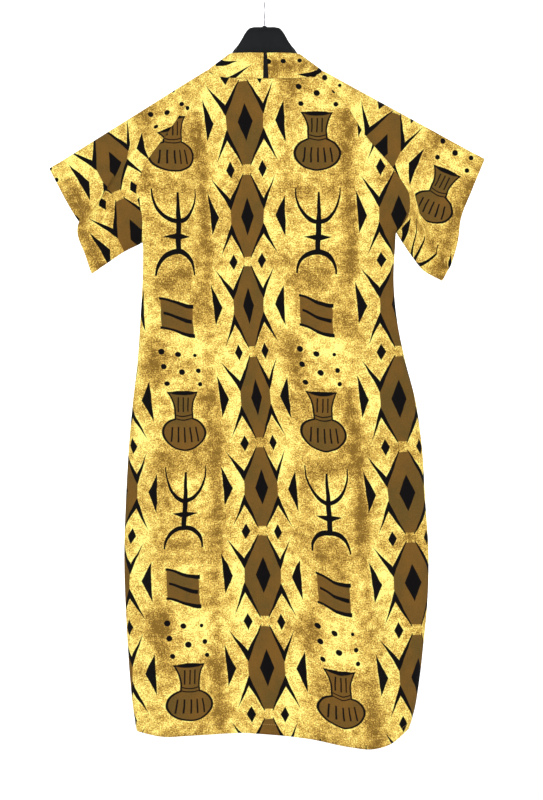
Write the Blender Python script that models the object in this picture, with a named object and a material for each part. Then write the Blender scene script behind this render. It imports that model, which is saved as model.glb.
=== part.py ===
"""A long raglan tunic in printed cotton, hanging on a broad black hanger.

The cloth is two layers, a back and a front, that swell apart from one outline: the shoulder
ridge above, the side seams and underarm seams below. Every panel is a piece of that one
swelling form, cut along the raglan seams, the neck seam and the side seams, so that panels
meet along shared lines with a small gap. Lengths are in millimetres and are scaled at the end.
X runs across the garment, Z is up and the back faces -Y. The origin is the hook's seat.
"""

from collections import namedtuple

import bmesh
import bpy
import numpy as np

MM = 0.001
WALL = 1.5
SEAM_GAP = 0.36
ARMPIT_SEAM_GAP = 1.5  # the seam twists there, so its gap is wider

# Body outline, a row for each height: the x of the left and right side seams
SideRow = namedtuple("SideRow", "z left right")
SIDE_SEAMS = (
    SideRow(-432, -219, 236),
    SideRow(-500, -220, 233),
    SideRow(-570, -224, 239),
    SideRow(-645, -229, 254),
    SideRow(-715, -237, 272),
    SideRow(-790, -244, 283),
    SideRow(-895, -250, 290),
    SideRow(-1000, -253, 296),
    SideRow(-1075, -251, 294),
    SideRow(-1150, -247, 287),
    SideRow(-1220, -242, 279),
    SideRow(-1282, -235, 268),
    SideRow(-1309, -230, 259),
)

# Hem, a row for each place across the body: how far its edge hangs
HemRow = namedtuple("HemRow", "x z")
HEM = (
    HemRow(-230, -1309),
    HemRow(-188, -1315),
    HemRow(-116, -1311),
    HemRow(-44, -1307),
    HemRow(28, -1311),
    HemRow(100, -1321),
    HemRow(150, -1332),
    HemRow(192, -1337),
    HemRow(228, -1329),
    HemRow(259, -1305),
)

# Upper outline from the left sleeve's corner, over the neck, to the right sleeve's corner
RidgeRow = namedtuple("RidgeRow", "x z")
RIDGE = (
    RidgeRow(-387, -298),
    RidgeRow(-246, -210),
    RidgeRow(-166, -158),
    RidgeRow(-101, -119),
    RidgeRow(-63, -91),
    RidgeRow(-48, -74),
    RidgeRow(-37, -55),
    RidgeRow(-24, -43),
    RidgeRow(24, -43),
    RidgeRow(37, -55),
    RidgeRow(48, -74),
    RidgeRow(64, -92),
    RidgeRow(104, -121),
    RidgeRow(166, -157),
    RidgeRow(234, -193),
    RidgeRow(307, -229),
    RidgeRow(396, -281),
)
RIDGE_SLOPE = 0.86  # cosine of the shoulder's fall, from a height to a square distance

# Armpits, and the underarm seams from there to the lower corner of each sleeve's hem
OutlineRow = namedtuple("OutlineRow", "x z")
UNDERARMS = {
    "left": (OutlineRow(-220, -432), OutlineRow(-254, -449), OutlineRow(-288, -472),
             OutlineRow(-311, -487)),
    "right": (OutlineRow(237, -414), OutlineRow(248, -431), OutlineRow(268, -460),
              OutlineRow(284, -480), OutlineRow(320, -500)),
}

# How far below the armpit the side seam takes over from the underarm in the outline, and how
# far the outline runs on past the hem
OUTLINE_JOIN = 8.0
PAST_HEM = 80.0

# The way out of the cloth at each armpit, between the side seam and the underarm
ARMPIT_NORMALS = {"left": (-0.25, 0.0, -0.97), "right": (0.25, 0.0, -0.97)}

# Sleeve hems from the upper corner down to the lower corner
SLEEVE_HEMS = {
    "left": (OutlineRow(-387, -298), OutlineRow(-362, -345), OutlineRow(-337, -388),
             OutlineRow(-334, -420), OutlineRow(-321, -455), OutlineRow(-311, -487)),
    "right": (OutlineRow(396, -281), OutlineRow(371, -340), OutlineRow(351, -392),
              OutlineRow(347, -430), OutlineRow(335, -468), OutlineRow(320, -500)),
}

# Raglan seams from the armpit up to the neck
RAGLANS = {
    "left": (OutlineRow(-220, -432), OutlineRow(-219, -385), OutlineRow(-229, -342),
             OutlineRow(-220, -310), OutlineRow(-170, -232), OutlineRow(-134, -180),
             OutlineRow(-93, -131)),
    "right": (OutlineRow(237, -414), OutlineRow(257, -385), OutlineRow(259, -350),
              OutlineRow(240, -315), OutlineRow(178, -238), OutlineRow(144, -183),
              OutlineRow(96, -132)),
}

# Neck: the seam that joins the band, and the band's free edge
NECK_SEAM_BACK_Z = -140
NECK_SEAM_V_Z = -440
BAND_EDGE_BACK_Z = -93
BAND_EDGE_V_Z = -300
NECK_CORNER_BEND = 1.4
RAGLAN_TOP_TURN = np.radians(66)  # where the raglan seam meets the neck, round from the back

# How far each layer swells from the middle plane, a row for each height
DepthRow = namedtuple("DepthRow", "z back front")
SWELL = (
    DepthRow(-90, 50, 46),
    DepthRow(-430, 56, 52),
    DepthRow(-800, 60, 56),
    DepthRow(-1050, 62, 58),
    DepthRow(-1337, 52, 46),
)
EDGE_SWELL = 12.0
EDGE_RADIUS = {"shoulder": 14.0, "lower": 11.0}
LENS_REACH = {"shoulder": 250.0, "lower": 170.0}
SLEEVE_FLATTEN = 0.30
CLEAR_OF_EDGES = 60.0  # the long folds die out this near to an edge

# Long soft folds of the body, ridges with a positive height and troughs with a negative one
FoldRow = namedtuple("FoldRow", "x_top z_top x_foot z_foot half_width height")
BODY_FOLDS = {
    "back": (
        FoldRow(-142, -150, -124, -640, 26, 10),
        FoldRow(-100, -190, -88, -700, 30, -8),
        FoldRow(112, -190, 120, -600, 30, -8),
        FoldRow(156, -200, 168, -740, 30, 8),
        FoldRow(-60, -620, -44, -1400, 60, -11),
        FoldRow(130, -560, 196, -1400, 52, 13),
        FoldRow(60, -760, 84, -1400, 40, -6),
        FoldRow(-190, -700, -178, -1400, 42, 9),
        FoldRow(236, -900, 246, -1400, 34, -7),
    ),
    "front": (
        FoldRow(-150, -170, -128, -700, 24, 9),
        FoldRow(142, -170, 132, -660, 24, 8),
        FoldRow(-70, -430, -96, -1400, 46, -9),
        FoldRow(20, -460, 10, -1400, 44, 10),
        FoldRow(110, -480, 120, -1400, 44, -10),
        FoldRow(-160, -700, -182, -1400, 40, 9),
        FoldRow(200, -700, 214, -1400, 40, 8),
    ),
}

# Sleeve folds that lean over what is under them, a row for each: side of the cloth, place
# down the sleeve from 0 at the shoulder to 1 at the underarm, half width, height, lean
SleeveFoldRow = namedtuple("SleeveFoldRow", "side down half_width height lean")
SLEEVE_FOLDS = {
    "left": (
        SleeveFoldRow("back", 0.52, 0.100, 20, 26),
        SleeveFoldRow("front", 0.48, 0.110, 16, 16),
    ),
    "right": (
        SleeveFoldRow("back", 0.66, 0.095, 15, 19),
        SleeveFoldRow("front", 0.50, 0.110, 16, 16),
    ),
}

# How a sleeve's cells crowd to the ends of its hem, and how squarely they leave the seam
SLEEVE_HEM_SPREAD = 0.5
SLEEVE_DEPARTURE = 0.6

# Number of cells in each panel
SIDE_ROWS = 24
RAGLAN_ROWS = 13
PANEL_COLUMNS = 30
NECK_TURN_CELLS = 4
SLEEVE_LENGTH_CELLS = 11
BAND_WIDTH_CELLS = 3

# Lengths into which the back and the front are divided, from the hem up, by rows of cells.
# In a shorter length, the shapes that stand for it in a collision keep closer to the cloth.
LengthRow = namedtuple("LengthRow", "name foot_row top_row")
PANEL_LENGTHS = (
    LengthRow("skirt", 0, 12),
    LengthRow("waist", 12, SIDE_ROWS - 1),
    LengthRow("yoke", SIDE_ROWS - 1, SIDE_ROWS + RAGLAN_ROWS),
)

# Hanger: its neck and arms, a row for each station out from the middle
HangerRow = namedtuple("HangerRow", "x top bottom half_depth")
HANGER = (
    HangerRow(0, -43.2, -104, 11.0),
    HangerRow(12, -43.2, -104, 11.0),
    HangerRow(21, -43.6, -105, 11.0),
    HangerRow(28, -46.0, -106, 11.0),
    HangerRow(36, -55.8, -107, 11.0),
    HangerRow(42, -66.6, -109, 11.0),
    HangerRow(49, -77.0, -112, 11.0),
    HangerRow(56, -85.2, -116, 11.0),
    HangerRow(61, -93.2, -120, 11.0),
    HangerRow(70, -100.2, -126, 11.2),
    HangerRow(88, -113.0, -135, 11.6),
    HangerRow(108, -126.4, -146, 12.0),
    HangerRow(134, -142.0, -162, 12.5),
    HangerRow(160, -157.8, -179, 13.0),
    HangerRow(186, -174.4, -195, 13.4),
    HangerRow(204, -186.0, -207, 13.4),
    HangerRow(212, -193.0, -207, 10.0),
)
HANGER_LEFT_DROP = 4.0  # the left arm lies this much lower at its end than the right one
HANGER_RING = 20
HANGER_CORNER = 2.6  # 2 is an ellipse, and a higher value squares the arm's section
HANGER_UNDER_CLOTH = 50.0  # out from here the arms keep inside the cloth
HANGER_CLEAR_ABOVE = 3.2
HANGER_CLEAR_BESIDE = 2.7

# Hook: wire that stands square to the hanger, so that it shows edge-on from the back
HOOK_WIRE_RADIUS = 1.9
HOOK_INNER_RADIUS = 15.0
HOOK_FOOT_Z = -58.0
HOOK_STRAIGHT_TOP_Z = -42.0
HOOK_CLEARANCE = 0.3

COTTON = (0.72, 0.50, 0.13, 1.0)
BLACK_PLASTIC = (0.02, 0.02, 0.022, 1.0)
CHROME = (0.75, 0.75, 0.76, 1.0)


def smooth_step(value):
    """0 below 0, 1 above 1, and an even rise between them."""
    share = np.clip(value, 0.0, 1.0)
    return share * share * (3.0 - 2.0 * share)


def curve_through(places, values, at):
    """Smooth curve through the rows of a table, read at the places asked for."""
    places = np.asarray(places, float)
    values = np.asarray(values, float)
    slopes = np.gradient(values, places)
    at = np.clip(at, places[0], places[-1])
    left = np.clip(np.searchsorted(places, at, side="right") - 1, 0, len(places) - 2)
    span = places[left + 1] - places[left]
    share = (at - places[left]) / span
    rise = values[left + 1] - values[left]
    start = slopes[left] * span
    end = slopes[left + 1] * span
    bend = (start - rise) * (1.0 - share) + (rise - end) * share
    return values[left] + rise * share + share * (1.0 - share) * bend


def by_height(table, column, z):
    """A column of a table whose rows go down in z, read at any height."""
    rows = table[::-1]
    return curve_through([row.z for row in rows], [getattr(row, column) for row in rows], z)


def along(rows, share):
    """Points at shares of the length of a smooth line through x, z rows."""
    points = np.array([(row.x, row.z) for row in rows], float)
    steps = np.hypot(*np.diff(points, axis=0).T)
    length = np.concatenate([[0.0], np.cumsum(steps)]) / steps.sum()
    share = np.asarray(share, float)
    return np.stack([curve_through(length, points[:, i], share) for i in (0, 1)], axis=-1)


def lower_outline(side):
    """Fine x, z points of one side's outline, from the sleeve's lower corner to the hem."""
    underarm = along(UNDERARMS[side][::-1], np.linspace(0.0, 1.0, 25))
    z = np.linspace(SIDE_SEAMS[0].z, SIDE_SEAMS[-1].z, 60)
    seam = np.stack([by_height(SIDE_SEAMS, side, z), z], axis=-1)
    armpit_z = UNDERARMS[side][0].z
    below_armpit = seam[seam[:, 1] < min(armpit_z, SIDE_SEAMS[0].z) - OUTLINE_JOIN]
    below_hem = seam[-1] + np.array([0.0, -PAST_HEM])
    return np.concatenate([underarm, below_armpit, [below_hem]])


LOWER_OUTLINES = {side: lower_outline(side) for side in ("left", "right")}
RIDGE_X = [row.x for row in RIDGE]
RIDGE_Z = [row.z for row in RIDGE]


def distance_to_line(x, z, line):
    """Distance from x, z points to a line of points."""
    start, end = line[:-1], line[1:]
    step = end - start
    rel_x = x[..., None] - start[:, 0]
    rel_z = z[..., None] - start[:, 1]
    share = (rel_x * step[:, 0] + rel_z * step[:, 1]) / (step**2).sum(axis=1)
    share = np.clip(share, 0.0, 1.0)
    off_x = rel_x - share * step[:, 0]
    off_z = rel_z - share * step[:, 1]
    nearest = np.argmin(off_x**2 + off_z**2, axis=-1)[..., None]
    off_x = np.take_along_axis(off_x, nearest, -1)[..., 0]
    off_z = np.take_along_axis(off_z, nearest, -1)[..., 0]
    return np.hypot(off_x, off_z)


def ridge_height(x):
    """Height of the upper outline at x."""
    return np.interp(x, RIDGE_X, RIDGE_Z)


def fold_height(layer, x, z):
    """How far the long folds lift a layer at x, z."""
    lift = np.zeros(np.broadcast(x, z).shape)
    for fold in BODY_FOLDS[layer]:
        down = (fold.z_top - z) / (fold.z_top - fold.z_foot)
        middle = fold.x_top + (fold.x_foot - fold.x_top) * down
        fade = smooth_step(down * 4.0) * smooth_step((1.0 - down) * 4.0)
        lift = lift + fold.height * fade * np.exp(-(((x - middle) / fold.half_width) ** 2))
    return lift


def swell(layer, x, z):
    """Distance of a layer from the middle plane, at x, z."""
    to_ridge = np.maximum(ridge_height(x) - z, 0.0) * RIDGE_SLOPE
    rounding = quarter_round(to_ridge / EDGE_RADIUS["shoulder"])
    lens = ease_out(to_ridge / LENS_REACH["shoulder"])
    clear_of_edges = smooth_step(to_ridge / CLEAR_OF_EDGES)
    for side in ("left", "right"):
        to_seam = distance_to_line(x, z, LOWER_OUTLINES[side])
        rounding = rounding * quarter_round(to_seam / EDGE_RADIUS["lower"])
        lens = lens * ease_out(to_seam / LENS_REACH["lower"])
        clear_of_edges = clear_of_edges * smooth_step(to_seam / CLEAR_OF_EDGES)
    full = by_height(SWELL, layer, z)
    on_sleeve = smooth_step((np.abs(x) - 190.0) / 200.0) * smooth_step((z + 560.0) / 80.0)
    full = full * (1.0 - SLEEVE_FLATTEN * on_sleeve)
    folds = fold_height(layer, x, z) * clear_of_edges
    return EDGE_SWELL * rounding + (full - EDGE_SWELL) * lens + folds


def quarter_round(share):
    """Profile of a rounded edge: upright at 0 and level from 1 on."""
    rest = 1.0 - np.clip(share, 0.0, 1.0)
    return np.sqrt(np.maximum(1.0 - rest * rest, 0.0))


def ease_out(share):
    """Profile of a lens: steepest at 0 and level from 1 on."""
    rest = 1.0 - np.clip(share, 0.0, 1.0)
    return 1.0 - rest * rest


def on_layer(layer, flat):
    """Points of a layer over flat x, z points."""
    x, z = flat[..., 0], flat[..., 1]
    facing = -1.0 if layer == "back" else 1.0
    return np.stack([x, facing * swell(layer, x, z), z], axis=-1)


def layer_normals(layer, flat):
    """Outward directions of a layer at flat x, z points, from its slopes."""
    x, z = flat[..., 0], flat[..., 1]
    facing = -1.0 if layer == "back" else 1.0
    reach = 0.5
    slope_x = (swell(layer, x + reach, z) - swell(layer, x - reach, z)) / (2.0 * reach)
    slope_z = (swell(layer, x, z + reach) - swell(layer, x, z - reach)) / (2.0 * reach)
    normals = np.stack([-slope_x, np.full(slope_x.shape, facing), -slope_z], axis=-1)
    return normals / np.linalg.norm(normals, axis=-1, keepdims=True)


def shifted(flat, distance):
    """A flat line moved square to itself, to the left of its direction."""
    tangent = np.gradient(flat, axis=0)
    tangent = tangent / np.linalg.norm(tangent, axis=1, keepdims=True)
    return flat + distance * np.stack([-tangent[:, 1], tangent[:, 0]], axis=-1)


def half_seam_gaps():
    """Half the raglan seam's gap at each row, from the armpit up, as a column."""
    row = np.arange(RAGLAN_ROWS + 1.0)[:, None]
    widened = np.exp(-((row - 1.0) ** 2) / 1.5)
    return 0.5 * (SEAM_GAP + (ARMPIT_SEAM_GAP - SEAM_GAP) * widened)


def raglan_seam(side):
    """Flat points of a raglan seam at the rows that body and sleeve share, armpit first."""
    share = (np.arange(RAGLAN_ROWS + 1) / RAGLAN_ROWS) ** 1.25
    return along(RAGLANS[side], share)


def neck_corner(side):
    """Flat point where a shoulder ridge meets the neck seam."""
    return RIDGE[3] if side == "left" else RIDGE[12]


def neck_seam(side, turn):
    """Flat points of the neck seam. The turn is 0 at the back, a right angle at the shoulder
    ridge and two right angles at the point of the V."""
    corner = neck_corner(side)
    rise = (1.0 - np.cos(np.minimum(turn, np.pi / 2))) ** NECK_CORNER_BEND
    back_x = corner.x * np.sin(turn)
    back_z = NECK_SEAM_BACK_Z + (corner.z - NECK_SEAM_BACK_Z) * rise
    down = v_share(turn)
    front_x = corner.x * (1.0 - down)
    front_z = corner.z + (NECK_SEAM_V_Z - corner.z) * down
    on_back = turn <= np.pi / 2
    return np.stack([np.where(on_back, back_x, front_x), np.where(on_back, back_z, front_z)], -1)


def band_edge(side, turn):
    """Flat points of the neckband's free edge, at the same turns as the neck seam."""
    corner = RIDGE[4] if side == "left" else RIDGE[11]
    back_x = corner.x * np.sin(turn)
    back_z = BAND_EDGE_BACK_Z + (corner.z - BAND_EDGE_BACK_Z) * (1.0 - np.cos(turn))
    down = v_share(turn)
    front_x = corner.x * (1.0 - down)
    front_z = corner.z + (BAND_EDGE_V_Z - corner.z) * down
    on_back = turn <= np.pi / 2
    return np.stack([np.where(on_back, back_x, front_x), np.where(on_back, back_z, front_z)], -1)


def v_share(turn):
    """Share of the way down the V, slow at the shoulder so that the edge rounds the ridge."""
    share = np.clip(turn / (np.pi / 2) - 1.0, 0.0, 1.0)
    return share * share * (2.0 - share)


def turn_at_share(share):
    """Turn at which the neck seam has gone a share of the way down the V."""
    turns = np.linspace(np.pi / 2, np.pi, 400)
    return np.interp(share, v_share(turns), turns)


FRONT_RAGLAN_TOP_TURN = turn_at_share(0.035)


def panel_turns(layer):
    """Turns round the neck, from the middle out, at a panel's columns on one side."""
    columns = np.arange(PANEL_COLUMNS // 2 + 1) / (PANEL_COLUMNS // 2)
    if layer == "back":
        return np.arcsin(columns * np.sin(RAGLAN_TOP_TURN))
    first = v_share(np.array(FRONT_RAGLAN_TOP_TURN))
    return turn_at_share(1.0 - columns * (1.0 - first))


def raglan_of_layer(side, layer):
    """A raglan seam of the back or front, which share all but their end at the neck."""
    seam = raglan_seam(side)
    end_turn = RAGLAN_TOP_TURN if layer == "back" else FRONT_RAGLAN_TOP_TURN
    end = neck_seam(side, np.array([end_turn]))[0]
    share = np.linspace(0.0, 1.0, RAGLAN_ROWS + 1)[:, None] ** 3
    return seam + (end - seam[-1]) * share


def side_seam_points(side):
    """Flat points of a side seam from the hem up, with the armpit left out."""
    foot = SIDE_SEAMS[-1].z
    armpit = UNDERARMS[side][0].z
    z = foot + (armpit - foot) * np.arange(SIDE_ROWS) / SIDE_ROWS
    return np.stack([by_height(SIDE_SEAMS, side, z), z], axis=-1)


def panel_edge(side, layer):
    """One long edge of a body panel, from the hem to the neck, half a seam gap inside."""
    inward = half_seam_gaps() * (1.0 if side == "right" else -1.0)
    raglan = shifted(raglan_of_layer(side, layer), inward)
    return np.concatenate([side_seam_points(side), raglan])


def panel_top(layer):
    """The neck edge of a body panel from left to right, half a seam gap below the seam."""
    turns = panel_turns(layer)
    left = neck_seam("left", turns[::-1])
    right = neck_seam("right", turns)
    line = np.concatenate([left[:-1], right])
    middle = PANEL_COLUMNS // 2
    moved = shifted(line, -0.5 * SEAM_GAP)
    if layer == "front":
        moved[middle] = line[middle] + np.array([0.0, -2.0 * SEAM_GAP])
    return moved


def hem_line(share):
    """Flat points of the body's hem at shares of the way across."""
    x = SIDE_SEAMS[-1].left + (SIDE_SEAMS[-1].right - SIDE_SEAMS[-1].left) * share
    z = curve_through([row.x for row in HEM], [row.z for row in HEM], x)
    return np.stack([x, z], axis=-1)


def body_panel_flat(layer):
    """Flat grid of a body panel: rows from hem to neck, columns from left to right."""
    left = panel_edge("left", layer)
    right = panel_edge("right", layer)
    left[-1] += np.array([0.0, -0.5 * SEAM_GAP])
    right[-1] += np.array([0.0, -0.5 * SEAM_GAP])
    top = panel_top(layer)
    top[0], top[-1] = left[-1], right[-1]
    rows = len(left)
    across = np.linspace(-1.0, 1.0, PANEL_COLUMNS + 1)
    rounded = 0.5 + 0.5 * np.sin(across * np.pi / 2)
    even = 0.5 + 0.5 * across
    top_rise = top - (top[0] + (top[-1] - top[0]) * even[:, None])
    flat = np.empty((rows, PANEL_COLUMNS + 1, 2))
    for row in range(rows):
        up = row / (rows - 1)
        evenness = smooth_step((row - SIDE_ROWS) / RAGLAN_ROWS * 1.5)
        share = rounded + (even - rounded) * evenness
        chord = left[row] + (right[row] - left[row]) * share[:, None]
        hem = hem_line(share)
        hem_chord = left[0] + (right[0] - left[0]) * share[:, None]
        near_hem = (1.0 - up) ** 3
        near_top = up**2.6
        to_top = np.stack([np.interp(share, even, top_rise[:, i]) for i in (0, 1)], axis=-1)
        flat[row] = chord + (hem - hem_chord) * near_hem + to_top * near_top
    return flat


def grid_normals(points, ring):
    """Outward directions of a grid of points from its own slopes. A ring's columns close."""
    if ring:
        wide = np.concatenate([points[:, -1:], points, points[:, :1]], axis=1)
        across = (wide[:, 2:] - wide[:, :-2]) / 2.0
    else:
        across = np.gradient(points, axis=1)
    up = np.gradient(points, axis=0)
    normals = np.cross(across, up)
    return normals / np.maximum(np.linalg.norm(normals, axis=-1, keepdims=True), 1e-9)


def cloth_wall(name, outer, normals, ring, material):
    """A closed wall of cloth between a grid of outer points and the same grid moved in."""
    inner = outer - WALL * normals
    rows, columns = outer.shape[:2]
    mesh = bmesh.new()
    sheets = [
        [[mesh.verts.new(point * MM) for point in row] for row in sheet] for sheet in (outer, inner)
    ]
    last = columns if ring else columns - 1
    for r in range(rows - 1):
        for c in range(last):
            n = (c + 1) % columns
            for sheet, turn in ((sheets[0], 1), (sheets[1], -1)):
                corners = (sheet[r][c], sheet[r][n], sheet[r + 1][n], sheet[r + 1][c])
                mesh.faces.new(corners[::turn])
    rims = [[(r, c) for c in range(columns)] + ([(r, 0)] if ring else []) for r in (0, rows - 1)]
    if not ring:
        rims += [[(r, c) for r in range(rows)] for c in (0, columns - 1)]
    for rim in rims:
        for (r, c), (s, d) in zip(rim[:-1], rim[1:]):
            mesh.faces.new((sheets[0][r][c], sheets[1][r][c], sheets[1][s][d], sheets[0][s][d]))
    bmesh.ops.recalc_face_normals(mesh, faces=mesh.faces)
    return add_object(name, mesh, material)


def add_object(name, mesh, material):
    """Turns a bmesh into a smooth-shaded object of the garment's collection."""
    data = bpy.data.meshes.new(name)
    mesh.to_mesh(data)
    mesh.free()
    data.shade_smooth()
    data.set_sharp_from_angle(angle=np.radians(50))
    data.materials.append(material)
    part = bpy.data.objects.new(name, data)
    TUNIC.objects.link(part)
    return part


def body_panel(layer, material):
    """The back or front, from the hem up to the raglan seams and the neck seam. It is one cut
    of cloth, divided into lengths by narrow gaps that the real one doesn't have."""
    flat = body_panel_flat(layer)
    outer = on_layer(layer, flat)
    half_gap = 0.5 * SEAM_GAP
    facing = -1.0 if layer == "back" else 1.0
    outer[: SIDE_ROWS + 1, (0, -1), 1] = facing * half_gap
    normals = grid_normals(outer, ring=False) * -facing
    seam_rows = slice(SIDE_ROWS, None)
    shared = layer_normals(layer, flat)
    for column, side in ((0, "left"), (-1, "right")):
        normals[seam_rows, column] = shared[seam_rows, column]
        normals[:SIDE_ROWS, column] = (-1.0 if side == "left" else 1.0, 0.0, 0.0)
        normals[SIDE_ROWS, column] = ARMPIT_NORMALS[side]
    normals[-1] = shared[-1]
    for length in PANEL_LENGTHS:
        rows = slice(length.foot_row, length.top_row + 1)
        part = outer[rows].copy()
        if length.foot_row > 0:
            step = part[1] - part[0]
            part[0] += half_gap * step / np.linalg.norm(step, axis=1, keepdims=True)
        if length.top_row < len(outer) - 1:
            step = part[-2] - part[-1]
            part[-1] += half_gap * step / np.linalg.norm(step, axis=1, keepdims=True)
        cloth_wall(layer + "_" + length.name, part, normals[rows], False, material)


def sleeve_flat(side):
    """Flat grid of one sleeve: rows from the raglan seam to the hem, columns round the tube
    from the shoulder ridge down the back, along the underarm and up the front."""
    outward = half_seam_gaps() * (-1.0 if side == "right" else 1.0)
    halves = []
    hems = []
    departures = []
    for layer in ("back", "front"):
        raglan = shifted(raglan_of_layer(side, layer), outward)[::-1]
        end_turn = RAGLAN_TOP_TURN if layer == "back" else FRONT_RAGLAN_TOP_TURN
        turns = np.pi / 2 + (end_turn - np.pi / 2) * np.linspace(0.0, 1.0, NECK_TURN_CELLS + 1)
        neck = neck_seam(side, turns)
        out = np.array([1.0 if side == "right" else -1.0, -0.6]) * 0.5 * SEAM_GAP
        neck = neck + out
        raglan[0] = neck[-1] + (raglan[0] - neck[-1] + out) * 0.5
        halves.append(np.concatenate([neck[:-1], raglan]))
        cells = len(halves[-1]) - 1
        share = np.linspace(0.0, 1.0, cells + 1)
        spread = share - np.sin(2.0 * np.pi * share) / (2.0 * np.pi) * SLEEVE_HEM_SPREAD
        hems.append(along(SLEEVE_HEMS[side], spread))
        chord = hems[-1] - halves[-1]
        length = np.linalg.norm(chord, axis=1, keepdims=True)
        square = shifted(halves[-1], 1.0 if side == "right" else -1.0) - halves[-1]
        up_raglan = np.clip((cells - np.arange(cells + 1.0)) / RAGLAN_ROWS, 0.0, 1.0)
        turned = np.sin(np.pi * up_raglan)[:, None] * SLEEVE_DEPARTURE
        departures.append((square * length - chord) * turned)
    start = np.concatenate([halves[0], halves[1][-2:0:-1]])
    end = np.concatenate([hems[0], hems[1][-2:0:-1]])
    departure = np.concatenate([departures[0], departures[1][-2:0:-1]])
    out = np.linspace(0.0, 1.0, SLEEVE_LENGTH_CELLS + 1)
    flat = start + (end - start) * out[:, None, None]
    flat += departure * (out * (1.0 - out) ** 2)[:, None, None]
    armpit = len(halves[0]) - 1
    bulge = along(UNDERARMS[side], out) - flat[:, armpit]
    nearness = 1.0 - np.abs(np.arange(len(start)) - armpit) / armpit
    flat += bulge[:, None, :] * (nearness**3)[None, :, None]
    return flat, len(halves[0])


def sleeve(side, material):
    """One sleeve: a tube from the raglan seam to its open hem, with a fold that leans over."""
    flat, back_columns = sleeve_flat(side)
    rows, columns = flat.shape[:2]
    on_back = np.arange(columns) < back_columns
    back = on_layer("back", flat)
    front = on_layer("front", flat)
    outer = np.where(on_back[None, :, None], back, front)
    outer[:, 0, 1] = 0.0
    outer[:, back_columns - 1, 1] = 0.0
    out = np.linspace(0.0, 1.0, rows)[:, None]
    column = np.arange(columns)
    down = np.where(on_back, column / (back_columns - 1), (columns - column) / (back_columns - 1))
    hem = SLEEVE_HEMS[side]
    fall = np.array([hem[-1].x - hem[0].x, 0.0, hem[-1].z - hem[0].z])
    fall = fall / np.linalg.norm(fall)
    for fold in SLEEVE_FOLDS[side]:
        facing = -1.0 if fold.side == "back" else 1.0
        mine = on_back if fold.side == "back" else ~on_back
        place = fold.down + 0.10 * (1.0 - out)
        shape = np.exp(-(((down[None, :] - place) / fold.half_width) ** 2)) * mine
        shape = shape * smooth_step((out - 0.12) * 1.3)
        outer[..., 1] += facing * fold.height * shape
        outer += fold.lean * shape[..., None] * fall
    turn = 1.0 if side == "right" else -1.0
    normals = grid_normals(outer, ring=True) * turn
    shared = np.where(
        on_back[:, None], layer_normals("back", flat[0]), layer_normals("front", flat[0])
    )
    clear = np.abs(outer[0, :, 1]) > 1.0
    normals[0, clear] = shared[clear]
    normals[0, back_columns - 1] = ARMPIT_NORMALS[side]
    return cloth_wall("sleeve_" + side, outer, normals, True, material)


def band_turns():
    """Turns round the neck at the cells that the band shares with the panels and sleeve."""
    back = panel_turns("back")
    over = np.linspace(RAGLAN_TOP_TURN, np.pi / 2, NECK_TURN_CELLS + 1)[1:]
    down = np.linspace(np.pi / 2, FRONT_RAGLAN_TOP_TURN, NECK_TURN_CELLS + 1)[1:]
    front = panel_turns("front")[::-1][1:]
    return np.concatenate([back, over, down, front])


def neckband(side, material):
    """One half of the band: it stands behind the neck and lies flat along the V in front."""
    turns = band_turns()
    seam = neck_seam(side, turns)
    edge = band_edge(side, turns)
    half_gap = 0.5 * SEAM_GAP
    outward = 1.0 if side == "right" else -1.0
    up = (edge - seam) / np.linalg.norm(edge - seam, axis=1, keepdims=True)
    seam = seam + up * half_gap
    seam[0, 0] = edge[0, 0] = outward * half_gap
    seam[-1, 0] = edge[-1, 0] = outward * half_gap
    share = np.linspace(0.0, 1.0, BAND_WIDTH_CELLS + 1)[:, None, None]
    flat = seam + (edge - seam) * share
    on_back = turns <= np.pi / 2
    back, front = on_layer("back", flat), on_layer("front", flat)
    outer = np.where(on_back[None, :, None], back, front)
    ridge = int(np.argmin(np.abs(turns - np.pi / 2)))
    outer[:, ridge, 1] = 0.0
    normals = grid_normals(outer, ring=False) * outward
    shared = np.where(
        on_back[:, None], layer_normals("back", flat[0]), layer_normals("front", flat[0])
    )
    clear = np.abs(outer[0, :, 1]) > 1.0
    normals[0, clear] = shared[clear]
    normals[:, (0, -1), 0] = 0.0
    normals /= np.linalg.norm(normals, axis=-1, keepdims=True)
    return cloth_wall("neckband_" + side, outer, normals, False, material)


def hanger_section(row, side):
    """Ring of points round the hanger at one station."""
    turn = np.linspace(0.0, 2.0 * np.pi, HANGER_RING, endpoint=False)
    power = 2.0 / HANGER_CORNER
    wide = np.sign(np.cos(turn)) * np.abs(np.cos(turn)) ** power
    tall = np.sign(np.sin(turn)) * np.abs(np.sin(turn)) ** power
    middle, half = (row.top + row.bottom) / 2.0, (row.top - row.bottom) / 2.0
    drop = HANGER_LEFT_DROP * (row.x / HANGER[-1].x) ** 2 if side < 0 else 0.0
    x = np.full(HANGER_RING, side * row.x)
    y = row.half_depth * wide
    z = middle - drop + half * tall
    if row.x > HANGER_UNDER_CLOTH:
        for layer, facing in (("back", -1.0), ("front", 1.0)):
            room = swell(layer, x, z + HANGER_CLEAR_ABOVE) - HANGER_CLEAR_BESIDE
            y = facing * np.minimum(facing * y, np.maximum(room, 0.4))
    return np.stack([x, y, z], axis=-1)


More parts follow.
